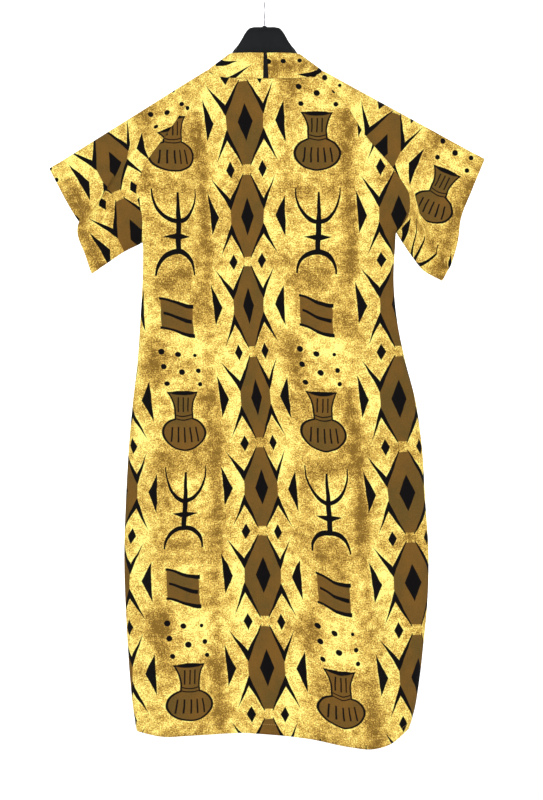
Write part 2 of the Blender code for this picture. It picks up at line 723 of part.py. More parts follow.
def hanger(material):
    """Broad hanger: a tall neck and two sloping arms, with a bore for the hook's stem."""
    stations = [hanger_section(row, -1) for row in HANGER[::-1]]
    stations += [hanger_section(row, 1) for row in HANGER[1:]]
    mesh = bmesh.new()
    rings = [[mesh.verts.new(point * MM) for point in ring] for ring in stations]
    for near, far in zip(rings[:-1], rings[1:]):
        for c in range(HANGER_RING):
            n = (c + 1) % HANGER_RING
            mesh.faces.new((near[c], near[n], far[n], far[c]))
    mesh.faces.new(rings[0])
    mesh.faces.new(rings[-1])
    bmesh.ops.recalc_face_normals(mesh, faces=mesh.faces)
    body = add_object("hanger", mesh, material)
    bore_top = HANGER[0].top + 5.0
    bore_foot = HOOK_FOOT_Z - HOOK_CLEARANCE
    bpy.ops.mesh.primitive_cylinder_add(
        vertices=16,
        radius=(HOOK_WIRE_RADIUS + HOOK_CLEARANCE) * MM,
        depth=(bore_top - bore_foot) * MM,
        location=(0.0, 0.0, (bore_top + bore_foot) / 2.0 * MM),
    )
    bore = bpy.context.active_object
    bore.name = "hook_bore"
    bore.display_type = "WIRE"
    bore.hide_render = True
    for owner in list(bore.users_collection):
        owner.objects.unlink(bore)
    CUTTERS.objects.link(bore)
    cut = body.modifiers.new("hook_bore", "BOOLEAN")
    cut.operation = "DIFFERENCE"
    cut.object = bore
    return body


def hook(material):
    """Wire hook: a straight stem, then a bend into three quarters of a circle."""
    radius = HOOK_INNER_RADIUS + HOOK_WIRE_RADIUS
    centre_z = HOOK_WIRE_RADIUS - radius
    turns = np.radians(np.linspace(-50.0, 180.0, 24))
    bow = np.stack([radius * np.cos(turns), centre_z + radius * np.sin(turns)], axis=-1)
    stem_foot = np.array([0.0, HOOK_FOOT_Z])
    stem_top = np.array([0.0, HOOK_STRAIGHT_TOP_Z])
    share = np.linspace(0.0, 1.0, 8)[1:-1, None]
    tangent = np.array([-np.sin(turns[0]), np.cos(turns[0])])
    bend = (
        stem_top * (1 - share) ** 3
        + (stem_top + np.array([0.0, 5.0])) * 3 * share * (1 - share) ** 2
        + (bow[0] - tangent * 5.0) * 3 * share**2 * (1 - share)
        + bow[0] * share**3
    )
    tip = bow[-1] + np.array([0.0, -5.0])
    route = np.concatenate([[stem_foot, stem_top], bend, bow, [tip]])
    curve = bpy.data.curves.new("hook", "CURVE")
    curve.dimensions = "3D"
    curve.bevel_depth = HOOK_WIRE_RADIUS * MM
    curve.bevel_resolution = 2
    curve.use_fill_caps = True
    spline = curve.splines.new("POLY")
    spline.points.add(len(route) - 1)
    for point, (y, z) in zip(spline.points, route):
        point.co = (0.0, y * MM, z * MM, 1.0)
    curve.materials.append(material)
    wire = bpy.data.objects.new("hook", curve)
    TUNIC.objects.link(wire)
    return wire


def finish(name, colour, roughness, metallic):
    """A plain material."""
    material = bpy.data.materials.new(name)
    material.use_nodes = True
    shader = material.node_tree.nodes["Principled BSDF"]
    shader.inputs["Base Color"].default_value = colour
    shader.inputs["Roughness"].default_value = roughness
    shader.inputs["Metallic"].default_value = metallic
    return material


def new_collection(name):
    """A collection linked to the scene."""
    collection = bpy.data.collections.new(name)
    bpy.context.scene.collection.children.link(collection)
    return collection


for leftover in list(bpy.data.objects):
    bpy.data.objects.remove(leftover)
TUNIC = new_collection("tunic_on_hanger")
CUTTERS = new_collection("cutters")
printed_cotton = finish("printed_cotton", COTTON, 0.85, 0.0)
black_plastic = finish("black_plastic", BLACK_PLASTIC, 0.55, 0.0)
chrome_wire = finish("chrome_wire", CHROME, 0.2, 1.0)
body_panel("back", printed_cotton)
body_panel("front", printed_cotton)
for each_side in ("left", "right"):
    sleeve(each_side, printed_cotton)
    neckband(each_side, printed_cotton)
hanger(black_plastic)
hook(chrome_wire)
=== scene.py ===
"""A long raglan tunic in printed cotton on a broad black hanger, dressed around its solids.

Each panel repeats the solid's own form at a finer step: two layers of cloth that swell apart
from one outline, cut along the raglan seams, the neck seam and the side seams. On that form go
the small creases, the turned hems, the sunken seams and the stitches. The printed cloth is one
node group, which reads where a bit of cloth lay on the uncut length, in metres. Lengths in the
tables are in millimetres and are scaled when a mesh is made.
"""

from collections import namedtuple

import bmesh
import bpy
import numpy as np
from bpy.props import FloatProperty, FloatVectorProperty, PointerProperty
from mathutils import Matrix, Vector


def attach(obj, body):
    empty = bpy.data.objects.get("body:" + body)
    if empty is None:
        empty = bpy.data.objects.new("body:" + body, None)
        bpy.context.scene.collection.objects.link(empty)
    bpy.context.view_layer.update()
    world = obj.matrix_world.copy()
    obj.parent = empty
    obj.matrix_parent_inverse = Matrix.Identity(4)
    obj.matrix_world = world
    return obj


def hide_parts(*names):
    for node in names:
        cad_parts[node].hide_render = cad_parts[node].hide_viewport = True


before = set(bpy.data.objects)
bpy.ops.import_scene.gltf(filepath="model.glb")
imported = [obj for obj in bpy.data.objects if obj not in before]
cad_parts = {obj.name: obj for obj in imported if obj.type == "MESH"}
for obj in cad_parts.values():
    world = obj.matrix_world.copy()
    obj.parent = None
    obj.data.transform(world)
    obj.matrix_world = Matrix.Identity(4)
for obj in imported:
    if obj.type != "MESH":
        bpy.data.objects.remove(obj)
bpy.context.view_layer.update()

bl_info = {
    "name": "Printed raglan tunic",
    "version": (1, 0, 0),
    "blender": (4, 5, 0),
    "location": "View3D > Sidebar > Tunic",
    "description": "Panels, print, stitches and hanger of a long printed tunic",
    "category": "Add Mesh",
}

MM = 0.001
BODY = "root"

# Which way each layer faces along Y, and each side reaches along X
FACING = {"back": -1.0, "front": 1.0}
OUTWARD = {"left": -1.0, "right": 1.0}


def listed(kind, *rows):
    """A table, each of whose rows is of one kind."""
    return tuple(kind(*row) for row in rows)


# Body outline, a row for each height: the x of the left and the right side seam
SideRow = namedtuple("SideRow", "z left right")
SIDE_SEAMS = listed(
    SideRow, (-432, -219, 236), (-500, -220, 233), (-570, -224, 239), (-645, -229, 254),
    (-715, -237, 272), (-790, -244, 283), (-895, -250, 290), (-1000, -253, 296),
    (-1075, -251, 294), (-1150, -247, 287), (-1220, -242, 279), (-1282, -235, 268),
    (-1309, -230, 259),
)

# Hem, a row for each place across the body: how far its edge hangs
OutlineRow = namedtuple("OutlineRow", "x z")
HEM = listed(
    OutlineRow, (-230, -1309), (-188, -1315), (-116, -1311), (-44, -1307), (28, -1311),
    (100, -1321), (150, -1332), (192, -1337), (228, -1329), (259, -1305),
)

# Upper outline from the left sleeve's corner, over the neck, to the right sleeve's corner
RIDGE = listed(
    OutlineRow, (-387, -298), (-246, -210), (-166, -158), (-101, -119), (-63, -91),
    (-48, -74), (-37, -55), (-24, -43), (24, -43), (37, -55), (48, -74), (64, -92),
    (104, -121), (166, -157), (234, -193), (307, -229), (396, -281),
)
RIDGE_SLOPE = 0.86  # cosine of the shoulder's fall, from a height to a square distance
SHOULDER_POINTS = {"left": (RIDGE[3], RIDGE[0]), "right": (RIDGE[12], RIDGE[16])}

# Armpits, and the underarm seams from there to the lower corner of each sleeve's hem
UNDERARMS = {
    "left": listed(OutlineRow, (-220, -432), (-254, -449), (-288, -472), (-311, -487)),
    "right": listed(
        OutlineRow, (237, -414), (248, -431), (268, -460), (284, -480), (320, -500)
    ),
}

# How far below the armpit the side seam takes over from the underarm in the outline, and how
# far the outline runs on past the hem
OUTLINE_JOIN = 8.0
PAST_HEM = 80.0

# The way out of the cloth at each armpit, between the side seam and the underarm
ARMPIT_NORMALS = {"left": (-0.25, 0.0, -0.97), "right": (0.25, 0.0, -0.97)}

# Sleeve hems from the upper corner down to the lower corner
SLEEVE_HEMS = {
    "left": listed(
        OutlineRow, (-387, -298), (-362, -345), (-337, -388), (-334, -420), (-321, -455),
        (-311, -487),
    ),
    "right": listed(
        OutlineRow, (396, -281), (371, -340), (351, -392), (347, -430), (335, -468),
        (320, -500),
    ),
}

# Raglan seams from the armpit up to the neck
RAGLANS = {
    "left": listed(
        OutlineRow, (-220, -432), (-219, -385), (-229, -342), (-220, -310), (-170, -232),
        (-134, -180), (-93, -131),
    ),
    "right": listed(
        OutlineRow, (237, -414), (257, -385), (259, -350), (240, -315), (178, -238),
        (144, -183), (96, -132),
    ),
}

# Neck: the seam that joins the band, and the band's free edge. Each runs from the middle of
# the back, over a corner on the ridge, to the point of the V.
NeckRow = namedtuple("NeckRow", "left right back_z v_z bend")
NECK_SEAM = NeckRow(RIDGE[3], RIDGE[12], -140, -440, 1.4)
BAND_EDGE = NeckRow(RIDGE[4], RIDGE[11], -93, -300, 1.0)

# How far each layer swells from the middle plane, a row for each height
DepthRow = namedtuple("DepthRow", "z back front")
SWELL = listed(
    DepthRow, (-90, 50, 46), (-430, 56, 52), (-800, 60, 56), (-1050, 62, 58),
    (-1337, 52, 46),
)
SWELL_SLOPE_REACH = 0.5  # how far to each side of a point its slope is taken
EDGE_SWELL = 12.0
EDGE_RADIUS = {"shoulder": 14.0, "lower": 11.0}
LENS_REACH = {"shoulder": 250.0, "lower": 170.0}
CLEAR_OF_EDGES = 60.0  # the long folds die out this near to an edge
CREASES_CLEAR = 22.0  # and the small creases this near

# The sleeves lie flatter than the body: by how much, and where that begins and is complete
SLEEVE_FLATTEN = 0.30
SLEEVE_FLAT_FROM_X, SLEEVE_FLAT_AT_X = 190.0, 390.0
SLEEVE_FLAT_FROM_Z, SLEEVE_FLAT_AT_Z = -560.0, -480.0

# Long soft folds of the body, ridges with a positive height and troughs with a negative one
FoldRow = namedtuple("FoldRow", "x_top z_top x_foot z_foot half_width height")
BODY_FOLDS = {
    "back": listed(
        FoldRow,
        (-142, -150, -124, -640, 26, 10),
        (-100, -190, -88, -700, 30, -8),
        (112, -190, 120, -600, 30, -8),
        (156, -200, 168, -740, 30, 8),
        (-60, -620, -44, -1400, 60, -11),
        (130, -560, 196, -1400, 52, 13),
        (60, -760, 84, -1400, 40, -6),
        (-190, -700, -178, -1400, 42, 9),
        (236, -900, 246, -1400, 34, -7),
    ),
    "front": listed(
        FoldRow,
        (-150, -170, -128, -700, 24, 9),
        (142, -170, 132, -660, 24, 8),
        (-70, -430, -96, -1400, 46, -9),
        (20, -460, 10, -1400, 44, 10),
        (110, -480, 120, -1400, 44, -10),
        (-160, -700, -182, -1400, 40, 9),
        (200, -700, 214, -1400, 40, 8),
    ),
}

# Small creases, each along a short line of its own
CREASES = {
    "back": listed(
        FoldRow,
        (-214, -405, -120, -470, 9, -2.6),
        (-212, -440, -150, -560, 11, 2.2),
        (232, -395, 150, -450, 9, -2.8),
        (228, -430, 176, -560, 12, 2.4),
        (-86, -128, -132, -232, 9, 2.2),
        (88, -128, 124, -226, 9, 2.0),
        (-28, -152, -44, -330, 14, -2.0),
        (36, -152, 46, -360, 15, 1.8),
        (-6, -380, 2, -720, 17, -2.6),
        (-200, -640, -120, -700, 12, -2.2),
        (70, -640, 168, -690, 13, -2.0),
        (214, -700, 150, -820, 15, 2.2),
        (-214, -820, -150, -930, 15, 2.4),
        (-104, -900, -112, -1300, 18, 3.0),
        (22, -980, 14, -1330, 18, -3.0),
        (112, -1010, 132, -1350, 17, 3.0),
        (206, -1040, 216, -1340, 15, -2.8),
        (-168, -1080, -162, -1330, 14, -2.4),
    ),
    "front": listed(
        FoldRow,
        (-212, -400, -116, -480, 10, -2.8),
        (228, -392, 140, -470, 10, -2.6),
        (-96, -220, -124, -420, 12, 2.2),
        (104, -210, 120, -430, 12, 2.2),
        (0, -452, -8, -640, 12, -2.6),
        (-190, -660, -90, -720, 13, -2.2),
        (80, -650, 190, -720, 13, -2.2),
        (-40, -900, -50, -1320, 18, 2.8),
        (64, -960, 60, -1330, 17, -2.8),
        (160, -1000, 168, -1340, 16, 2.6),
        (-130, -1040, -136, -1320, 16, -2.6),
    ),
}

# Slow unevenness of hanging cloth, a row for each wave
WaveRow = namedtuple("WaveRow", "height across down turn")
WAVES = listed(
    WaveRow, (1.0, 96, 430, 0.6), (0.8, 61, 260, 2.1), (0.55, 39, 143, 4.4),
    (0.5, 173, 88, 1.2),
)

# Sleeve folds that lean over what is under them, a row for each: side of the cloth, place
# down the sleeve from 0 at the shoulder to 1 at the underarm, how far out along the sleeve it
# begins, half width, height, lean, and how much of the print the fold swallows, at the raglan
# seam and at the hem
SleeveFoldRow = namedtuple(
    "SleeveFoldRow", "side down begins half_width height lean take_u take_v hem_take"
)
SLEEVE_FOLDS = {
    "left": listed(
        SleeveFoldRow,
        ("back", 0.42, 0.42, 0.085, 25, 30, 20, -37, 1.0),
        ("front", 0.48, 0.12, 0.110, 16, 16, 0, -24, 1.0),
    ),
    "right": listed(
        SleeveFoldRow,
        ("back", 0.70, 0.12, 0.095, 18, 19, -37, -54, 0.12),
        ("front", 0.50, 0.12, 0.110, 16, 16, 0, -24, 1.0),
    ),
}
SLEEVE_FOLD_DRIFT = 0.10  # how much lower each fold starts, at the raglan seam
GATHER_WIDTH = 0.44  # where there is no fold yet, the cloth is taken up over this much
SLEEVE_HEM_SPREAD = 0.5
SLEEVE_DEPARTURE = 0.6

# The camera looks along Y at this point, from this far away, in metres
AIM_X = 0.0126
AIM_Z = -0.7146
VIEW_DISTANCE = 4.0

# Number of cells in each panel
SIDE_ROWS = 120
RAGLAN_ROWS = 65
PANEL_COLUMNS = 150
NECK_TURN_CELLS = 16
HEM_PULL, NECK_PULL = 3, 2.6  # how fast the hem's and the neck's own lines fade from the grid
SLEEVE_LENGTH_CELLS = 48
BAND_WIDTH_CELLS = 14
BACK_SEAM_SHADE_CELLS = {"left": 2, "right": 6}  # columns painted dark at the back, as the seam's shadow

# Hanger: its neck and arms, a row for each station out from the middle
HangerRow = namedtuple("HangerRow", "x top bottom half_depth")
HANGER = listed(
    HangerRow, (0, -43.2, -104, 11.0), (12, -43.2, -104, 11.0), (21, -43.6, -105, 11.0),
    (28, -46.0, -106, 11.0), (36, -55.8, -107, 11.0), (42, -66.6, -109, 11.0),
    (49, -77.0, -112, 11.0), (56, -85.2, -116, 11.0), (61, -93.2, -120, 11.0),
    (70, -100.2, -126, 11.2), (88, -113.0, -135, 11.6), (108, -126.4, -146, 12.0),
    (134, -142.0, -162, 12.5), (160, -157.8, -179, 13.0), (186, -174.4, -195, 13.4),
    (204, -186.0, -207, 13.4), (212, -193.0, -207, 10.0),
)
HANGER_LEFT_DROP = 4.0
HANGER_RING = 48
HANGER_STEPS = 5  # finer stations between two rows
HANGER_CORNER = 2.6
HANGER_UNDER_CLOTH = 50.0
HANGER_CLEAR_ABOVE = 3.2
HANGER_CLEAR_BESIDE = 2.7
HANGER_END_ROUND = 3.0
SEAT_RADIUS = 3.4  # collar where the hook enters the hanger's neck
SEAT_HEIGHT = 1.6

# Hook: wire that stands square to the hanger, so that it shows edge-on from the back
HOOK_WIRE_RADIUS = 1.9
HOOK_INNER_RADIUS = 15.0
HOOK_FOOT_Z = -58.0
HOOK_STRAIGHT_TOP_Z = -42.0
HOOK_BLEND = 5.0  # reach of the bends between the stem and the bow, and length of the tip

# Where the print lies on the back, a row for each lozenge of the middle chain from one above
# the neck down: its place on the printed length, its height on the back, and how much of its
# width a soft tuck takes up
LozengeRow = namedtuple("LozengeRow", "v z tuck")
LOZENGES = listed(
    LozengeRow, (163.8, -50.0, 0.0), (0.0, -213.7, 2.0), (-163.8, -385.0, 7.0),
    (-327.6, -545.1, 9.0), (-491.4, -709.6, 8.0), (-655.2, -871.0, 4.0),
    (-819.0, -1028.9, 1.0), (-982.8, -1196.5, 3.0), (-1146.6, -1362.0, 3.0),
)
CHAIN_REPEAT = 264.6
LOZENGE_REPEAT = 163.8
SYMBOL_REPEAT = 3 * LOZENGE_REPEAT
SYMBOL_PLACE = 125.0
SYMBOL_TOP = 21.4  # just above a jar, where each run of symbols begins
PRINT_WANDER = 3.0  # how far the drawn lines stray, to and fro
THORN_PLACE = 63.5
TUCK_HALF_WIDTH = 22.0

# The columns of the print, from left to right: the place of each on the cloth, its x beside
# each lozenge of the table above, and how far it sits above that lozenge there
ColumnRow = namedtuple("ColumnRow", "name u x rise")
PRINT_COLUMNS = listed(
    ColumnRow,
    ("chain_left", -CHAIN_REPEAT,
              (-325, -320, -315, -303, -282, -262, -278, -279, -279),
              (0, 0, 0, -7, -6, -5, -12, -13, -13)),
    ("symbols_left", SYMBOL_PLACE - CHAIN_REPEAT,
              (-170, -165, -154, -155.5, -146, -142, -148.5, -134, -130),
              (-4, -4, 2, -7, -5, -16, -11, -9, -12)),
    ("thorns_left", -THORN_PLACE,
              (-108, -99.9, -90, -83.7, -72, -65.7, -64.8, -59.4, -55),
              (-4, -4, -2, -4, -4.6, -3.4, -2.4, -2, -2)),
    ("chain", 0.0,
              (-46, -34.4, -30.6, -28.8, -13.5, -4.5, -2.2, 5, 11),
              (0, 0, 0, 0, 0, 0, 0, 0, 0)),
    ("thorns_right", THORN_PLACE,
              (18, 27, 27.9, 27, 35.1, 49.5, 56.7, 65.7, 72),
              (3.6, 3.6, 3.6, 4, 1.8, -4.6, -5.2, -3, -3)),
    ("symbols_right", SYMBOL_PLACE,
              (90, 95, 98, 92.7, 104.7, 113, 123.8, 136, 149),
              (2, 2, 0, -5, -7, -20, -26, -24, -26)),
    ("chain_right", CHAIN_REPEAT,
              (242, 242, 242, 245.8, 242.2, 256.2, 266.8, 278, 282),
              (6, 6, 5.4, 3.4, -3, -10.6, -13.4, -16.6, -17)),
)

# How each other piece was laid on the printed cloth: a point of the piece, what it is on the
# print, and how far the print is turned against the piece, anticlockwise
LayRow = namedtuple("LayRow", "x z u v turn")
LAYS = {
    "front": LayRow(0, -640, 24, -300, 1.5),
    "sleeve_left": LayRow(-265.5, -297, 0, 0, 26),
    "sleeve_right": LayRow(208.5, -266, 0, 0, -23.0),
    "neckband_left": LayRow(0, 0, -41, 92, -90),
    "neckband_right": LayRow(0, 0, 63, -397, 90),
}

# Seams sink, hems are turned up
SEAM_SINK = 0.8
SEAM_REACH = 3.0
BODY_HEM_WIDTH = 20.0
SLEEVE_HEM_WIDTH = 18.0
HEM_STITCH_IN = 2.0
BAND_STITCH_IN = 2.4
HEM_PROUD = 0.5
HEM_STEP = 3.0
INK_SOFT = 0.9  # how gently the edge of a printed shape comes up, in millimetres
INK_SPREAD = 0.9  # how far the ink ran out past the drawn shapes


def srgb(red, green, blue):
    """A colour as a picture shows it, from 0 to 255, made linear for a shader."""
    share = np.array([red, green, blue]) / 255.0
    linear = np.where(share <= 0.04045, share / 12.92, ((share + 0.055) / 1.055) ** 2.4)
    return tuple(float(value) for value in linear)


class TunicCloth(bpy.types.PropertyGroup):
    """Sizes of the cloth and its sewing."""

    wall: FloatProperty(
        name="Cloth", description="Thickness of the cotton", default=0.0009, min=0.0004,
        max=0.0015, unit="LENGTH",
    )
    crease: FloatProperty(
        name="Creases", description="How deep the small creases are", default=1.0, min=0.0,
        max=2.0, subtype="FACTOR",
    )
    stitch: FloatProperty(
        name="Stitch", description="Length of one stitch", default=0.0026, min=0.001,
        unit="LENGTH",
    )
    pitch: FloatProperty(
        name="Pitch", description="From one stitch to the next", default=0.0034, min=0.0015,
        unit="LENGTH",
    )
    thread: FloatProperty(
        name="Thread", description="Thickness of the sewing thread", default=0.0006,
        min=0.0002, unit="LENGTH",
    )
    weave: FloatProperty(
        name="Weave", description="From one yarn to the next", default=0.0009, min=0.0003,
        unit="LENGTH",
    )


class TunicColours(bpy.types.PropertyGroup):
    """Colours of the print, the thread and the hanger."""

    pale: FloatVectorProperty(
        name="Pale ground", description="Lightest yellow of the ground", subtype="COLOR",
        default=srgb(253, 243, 137), min=0.0, max=1.0,
    )
    gold: FloatVectorProperty(
        name="Gold ground", description="Middle gold of the ground", subtype="COLOR",
        default=srgb(222, 181, 86), min=0.0, max=1.0,
    )
    olive: FloatVectorProperty(
        name="Olive ground", description="Darkest ochre of the ground", subtype="COLOR",
        default=srgb(124, 93, 36), min=0.0, max=1.0,
    )
    brown: FloatVectorProperty(
        name="Brown", description="Brown of the lozenges", subtype="COLOR",
        default=srgb(112, 80, 34), min=0.0, max=1.0,
    )
    ash: FloatVectorProperty(
        name="Ash brown", description="Cooler brown that the lozenges shade into",
        subtype="COLOR", default=srgb(96, 74, 34), min=0.0, max=1.0,
    )
    ink: FloatVectorProperty(
        name="Ink", description="Dark lines of the print", subtype="COLOR",
        default=srgb(11, 9, 10), min=0.0, max=1.0,
    )
    thread: FloatVectorProperty(
        name="Thread", description="Sewing thread", subtype="COLOR",
        default=srgb(214, 170, 84), min=0.0, max=1.0,
    )
    plastic: FloatVectorProperty(
        name="Hanger", description="Plastic of the hanger", subtype="COLOR",
        default=srgb(15, 17, 19), min=0.0, max=1.0,
    )
    wire: FloatVectorProperty(
        name="Hook", description="Plated wire of the hook", subtype="COLOR",
        default=srgb(214, 214, 218), min=0.0, max=1.0,
    )


class TunicStage(bpy.types.PropertyGroup):
    """The room and its light."""

    sky: FloatProperty(
        name="Fill", description="Strength of the light from all round", default=0.86, min=0.0,
    )
    key: FloatProperty(
        name="Key", description="Power of the large soft lamp", default=46.0, min=0.0,
        unit="POWER",
    )
    lens: FloatProperty(
        name="Lens", description="Focal length of the camera in millimetres", default=100.0,
        min=20.0,
    )
    distance: FloatProperty(
        name="Distance", description="From the camera to the garment", default=VIEW_DISTANCE,
        min=1.0, unit="LENGTH",
    )


# Form of the garment


def smooth_step(value):
    """0 below 0, 1 above 1, and an even rise between them."""
    share = np.clip(value, 0.0, 1.0)
    return share * share * (3.0 - 2.0 * share)


def quarter_round(share):
    """Profile of a rounded edge: upright at 0 and level from 1 on."""
    rest = 1.0 - np.clip(share, 0.0, 1.0)
    return np.sqrt(np.maximum(1.0 - rest * rest, 0.0))


def ease_out(share):
    """Profile of a lens: steepest at 0 and level from 1 on."""
    rest = 1.0 - np.clip(share, 0.0, 1.0)
    return 1.0 - rest * rest


def curve_through(places, values, at):
    """Smooth curve through the rows of a table, read at the places asked for."""
    places = np.asarray(places, float)
    values = np.asarray(values, float)
    slopes = np.gradient(values, places)
    at = np.clip(at, places[0], places[-1])
    left = np.clip(np.searchsorted(places, at, side="right") - 1, 0, len(places) - 2)
    span = places[left + 1] - places[left]
    share = (at - places[left]) / span
    rise = values[left + 1] - values[left]
    start = slopes[left] * span
    end = slopes[left + 1] * span
    bend = (start - rise) * (1.0 - share) + (rise - end) * share
    return values[left] + rise * share + share * (1.0 - share) * bend


def by_height(table, column, z):
    """A column of a table whose rows go down in z, read at any height."""
    rows = table[::-1]
    return curve_through([row.z for row in rows], [getattr(row, column) for row in rows], z)


def along(rows, share):
    """Points at shares of the length of a smooth line through x, z rows."""
    points = np.array([(row.x, row.z) for row in rows], float)
    steps = np.hypot(*np.diff(points, axis=0).T)
    length = np.concatenate([[0.0], np.cumsum(steps)]) / steps.sum()
    share = np.asarray(share, float)
    return np.stack([curve_through(length, points[:, i], share) for i in (0, 1)], axis=-1)


def lower_outline(side):
    """Fine x, z points of one side's outline, from the sleeve's lower corner to the hem."""
    underarm = along(UNDERARMS[side][::-1], np.linspace(0.0, 1.0, 25))
    z = np.linspace(SIDE_SEAMS[0].z, SIDE_SEAMS[-1].z, 60)
    seam = np.stack([by_height(SIDE_SEAMS, side, z), z], axis=-1)
    armpit_z = UNDERARMS[side][0].z
    below_armpit = seam[seam[:, 1] < min(armpit_z, SIDE_SEAMS[0].z) - OUTLINE_JOIN]
    below_hem = seam[-1] + np.array([0.0, -PAST_HEM])
    return np.concatenate([underarm, below_armpit, [below_hem]])


LOWER_OUTLINES = {side: lower_outline(side) for side in OUTWARD}
RIDGE_X = [row.x for row in RIDGE]
RIDGE_Z = [row.z for row in RIDGE]


def distance_to_line(x, z, line):
    """Distance from x, z points to a line of points."""
    start, end = line[:-1], line[1:]
    step = end - start
    nearest = np.full(x.shape, np.inf)
    for (from_x, from_z), (step_x, step_z) in zip(start, step):
        rel_x, rel_z = x - from_x, z - from_z
        share = np.clip((rel_x * step_x + rel_z * step_z) / (step_x**2 + step_z**2), 0.0, 1.0)
        off_x, off_z = rel_x - share * step_x, rel_z - share * step_z
        nearest = np.minimum(nearest, off_x**2 + off_z**2)
    return np.sqrt(nearest)


def ridge_height(x):
    """Height of the upper outline at x."""
    return np.interp(x, RIDGE_X, RIDGE_Z)


def fold_height(layer, x, z):
    """How far the long folds lift a layer at x, z."""
    lift = np.zeros(np.broadcast(x, z).shape)
    for fold in BODY_FOLDS[layer]:
        down = (fold.z_top - z) / (fold.z_top - fold.z_foot)
        middle = fold.x_top + (fold.x_foot - fold.x_top) * down
        fade = smooth_step(down * 4.0) * smooth_step((1.0 - down) * 4.0)
        lift = lift + fold.height * fade * np.exp(-(((x - middle) / fold.half_width) ** 2))
    return lift


def crease_height(layer, x, z):
    """How far the small creases and the slow waves lift a layer at x, z."""
    lift = np.zeros(np.broadcast(x, z).shape)
    for crease in CREASES[layer]:
        run_x, run_z = crease.x_foot - crease.x_top, crease.z_foot - crease.z_top
        length = np.hypot(run_x, run_z)
        rel_x, rel_z = x - crease.x_top, z - crease.z_top
        down = (rel_x * run_x + rel_z * run_z) / length**2
        beside = (rel_x * run_z - rel_z * run_x) / length
        bow = beside + 0.05 * length * np.sin(np.pi * np.clip(down, 0.0, 1.0))
        fade = smooth_step(down * 3.0) * smooth_step((1.0 - down) * 3.0)
        lift += crease.height * fade * np.exp(-((bow / crease.half_width) ** 2))
    for wave in WAVES:
        phase = 2.0 * np.pi * (x / wave.across + z / wave.down) + wave.turn
        lift += wave.height * np.sin(phase + 0.9 * np.sin(z / wave.across * 1.3))
    return lift


def edge_shares(x, z):
    """Distances to the shoulder ridge and to the nearer lower outline."""
    to_ridge = np.maximum(ridge_height(x) - z, 0.0) * RIDGE_SLOPE
    return to_ridge, [distance_to_line(x, z, line) for line in LOWER_OUTLINES.values()]


def swell(layer, x, z, creases=0.0):
    """Distance of a layer from the middle plane, at x, z."""
    to_ridge, to_seams = edge_shares(x, z)
    rounding = quarter_round(to_ridge / EDGE_RADIUS["shoulder"])
    lens = ease_out(to_ridge / LENS_REACH["shoulder"])
    clear_of_edges = smooth_step(to_ridge / CLEAR_OF_EDGES)
    for to_seam in to_seams:
        rounding = rounding * quarter_round(to_seam / EDGE_RADIUS["lower"])
        lens = lens * ease_out(to_seam / LENS_REACH["lower"])
        clear_of_edges = clear_of_edges * smooth_step(to_seam / CLEAR_OF_EDGES)
    full = by_height(SWELL, layer, z)
    out = (np.abs(x) - SLEEVE_FLAT_FROM_X) / (SLEEVE_FLAT_AT_X - SLEEVE_FLAT_FROM_X)
    up = (z - SLEEVE_FLAT_FROM_Z) / (SLEEVE_FLAT_AT_Z - SLEEVE_FLAT_FROM_Z)
    full = full * (1.0 - SLEEVE_FLATTEN * (smooth_step(out) * smooth_step(up)))
    depth = EDGE_SWELL * rounding + (full - EDGE_SWELL) * lens
    depth = depth + fold_height(layer, x, z) * clear_of_edges
    if creases:
        near = np.minimum(to_ridge, np.minimum(*to_seams))
        fade = smooth_step(near / CREASES_CLEAR)
        depth = depth + creases * crease_height(layer, x, z) * fade
    return depth


def on_layer(layer, flat, creases=0.0):
    """Points of a layer over flat x, z points."""
    x, z = flat[..., 0], flat[..., 1]
    return np.stack([x, FACING[layer] * swell(layer, x, z, creases), z], axis=-1)


def on_either(flat, on_back, creases=0.0):
    """Points of a grid whose columns lie partly on the back and partly on the front."""
    back, front = on_layer("back", flat, creases), on_layer("front", flat, creases)
    return np.where(on_back[None, :, None], back, front)


def layer_normals(layer, flat):
    """Outward directions of a layer at flat x, z points, from its slopes."""
    x, z = flat[..., 0], flat[..., 1]
    reach = SWELL_SLOPE_REACH
    slope_x = (swell(layer, x + reach, z) - swell(layer, x - reach, z)) / (2.0 * reach)
    slope_z = (swell(layer, x, z + reach) - swell(layer, x, z - reach)) / (2.0 * reach)
    normals = np.stack([-slope_x, np.full(slope_x.shape, FACING[layer]), -slope_z], axis=-1)
    return normals / np.linalg.norm(normals, axis=-1, keepdims=True)


def left_of(line):
    """Directions square to a flat line, to the left of the way it runs."""
    tangent = np.gradient(line, axis=0)
    tangent = tangent / np.linalg.norm(tangent, axis=1, keepdims=True)
    return np.stack([-tangent[:, 1], tangent[:, 0]], axis=-1)


# Cut of the panels


def raglan_seam(side):
    """Flat points of a raglan seam at the rows that body and sleeve share, armpit first."""
    share = (np.arange(RAGLAN_ROWS + 1) / RAGLAN_ROWS) ** 1.25
    return along(RAGLANS[side], share)


def v_share(turn):
    """Share of the way down the V, slow at the shoulder so that the edge rounds the ridge."""
    share = np.clip(turn / (np.pi / 2) - 1.0, 0.0, 1.0)
    return share * share * (2.0 - share)


def turn_at_share(share):
    """Turn at which the neck seam has gone a share of the way down the V."""
    turns = np.linspace(np.pi / 2, np.pi, 400)
    return np.interp(share, v_share(turns), turns)


# Where the raglan seams meet the neck: round the back of it, and just past the ridge in front
RAGLAN_TOP_TURNS = {"back": np.radians(66), "front": turn_at_share(0.035)}


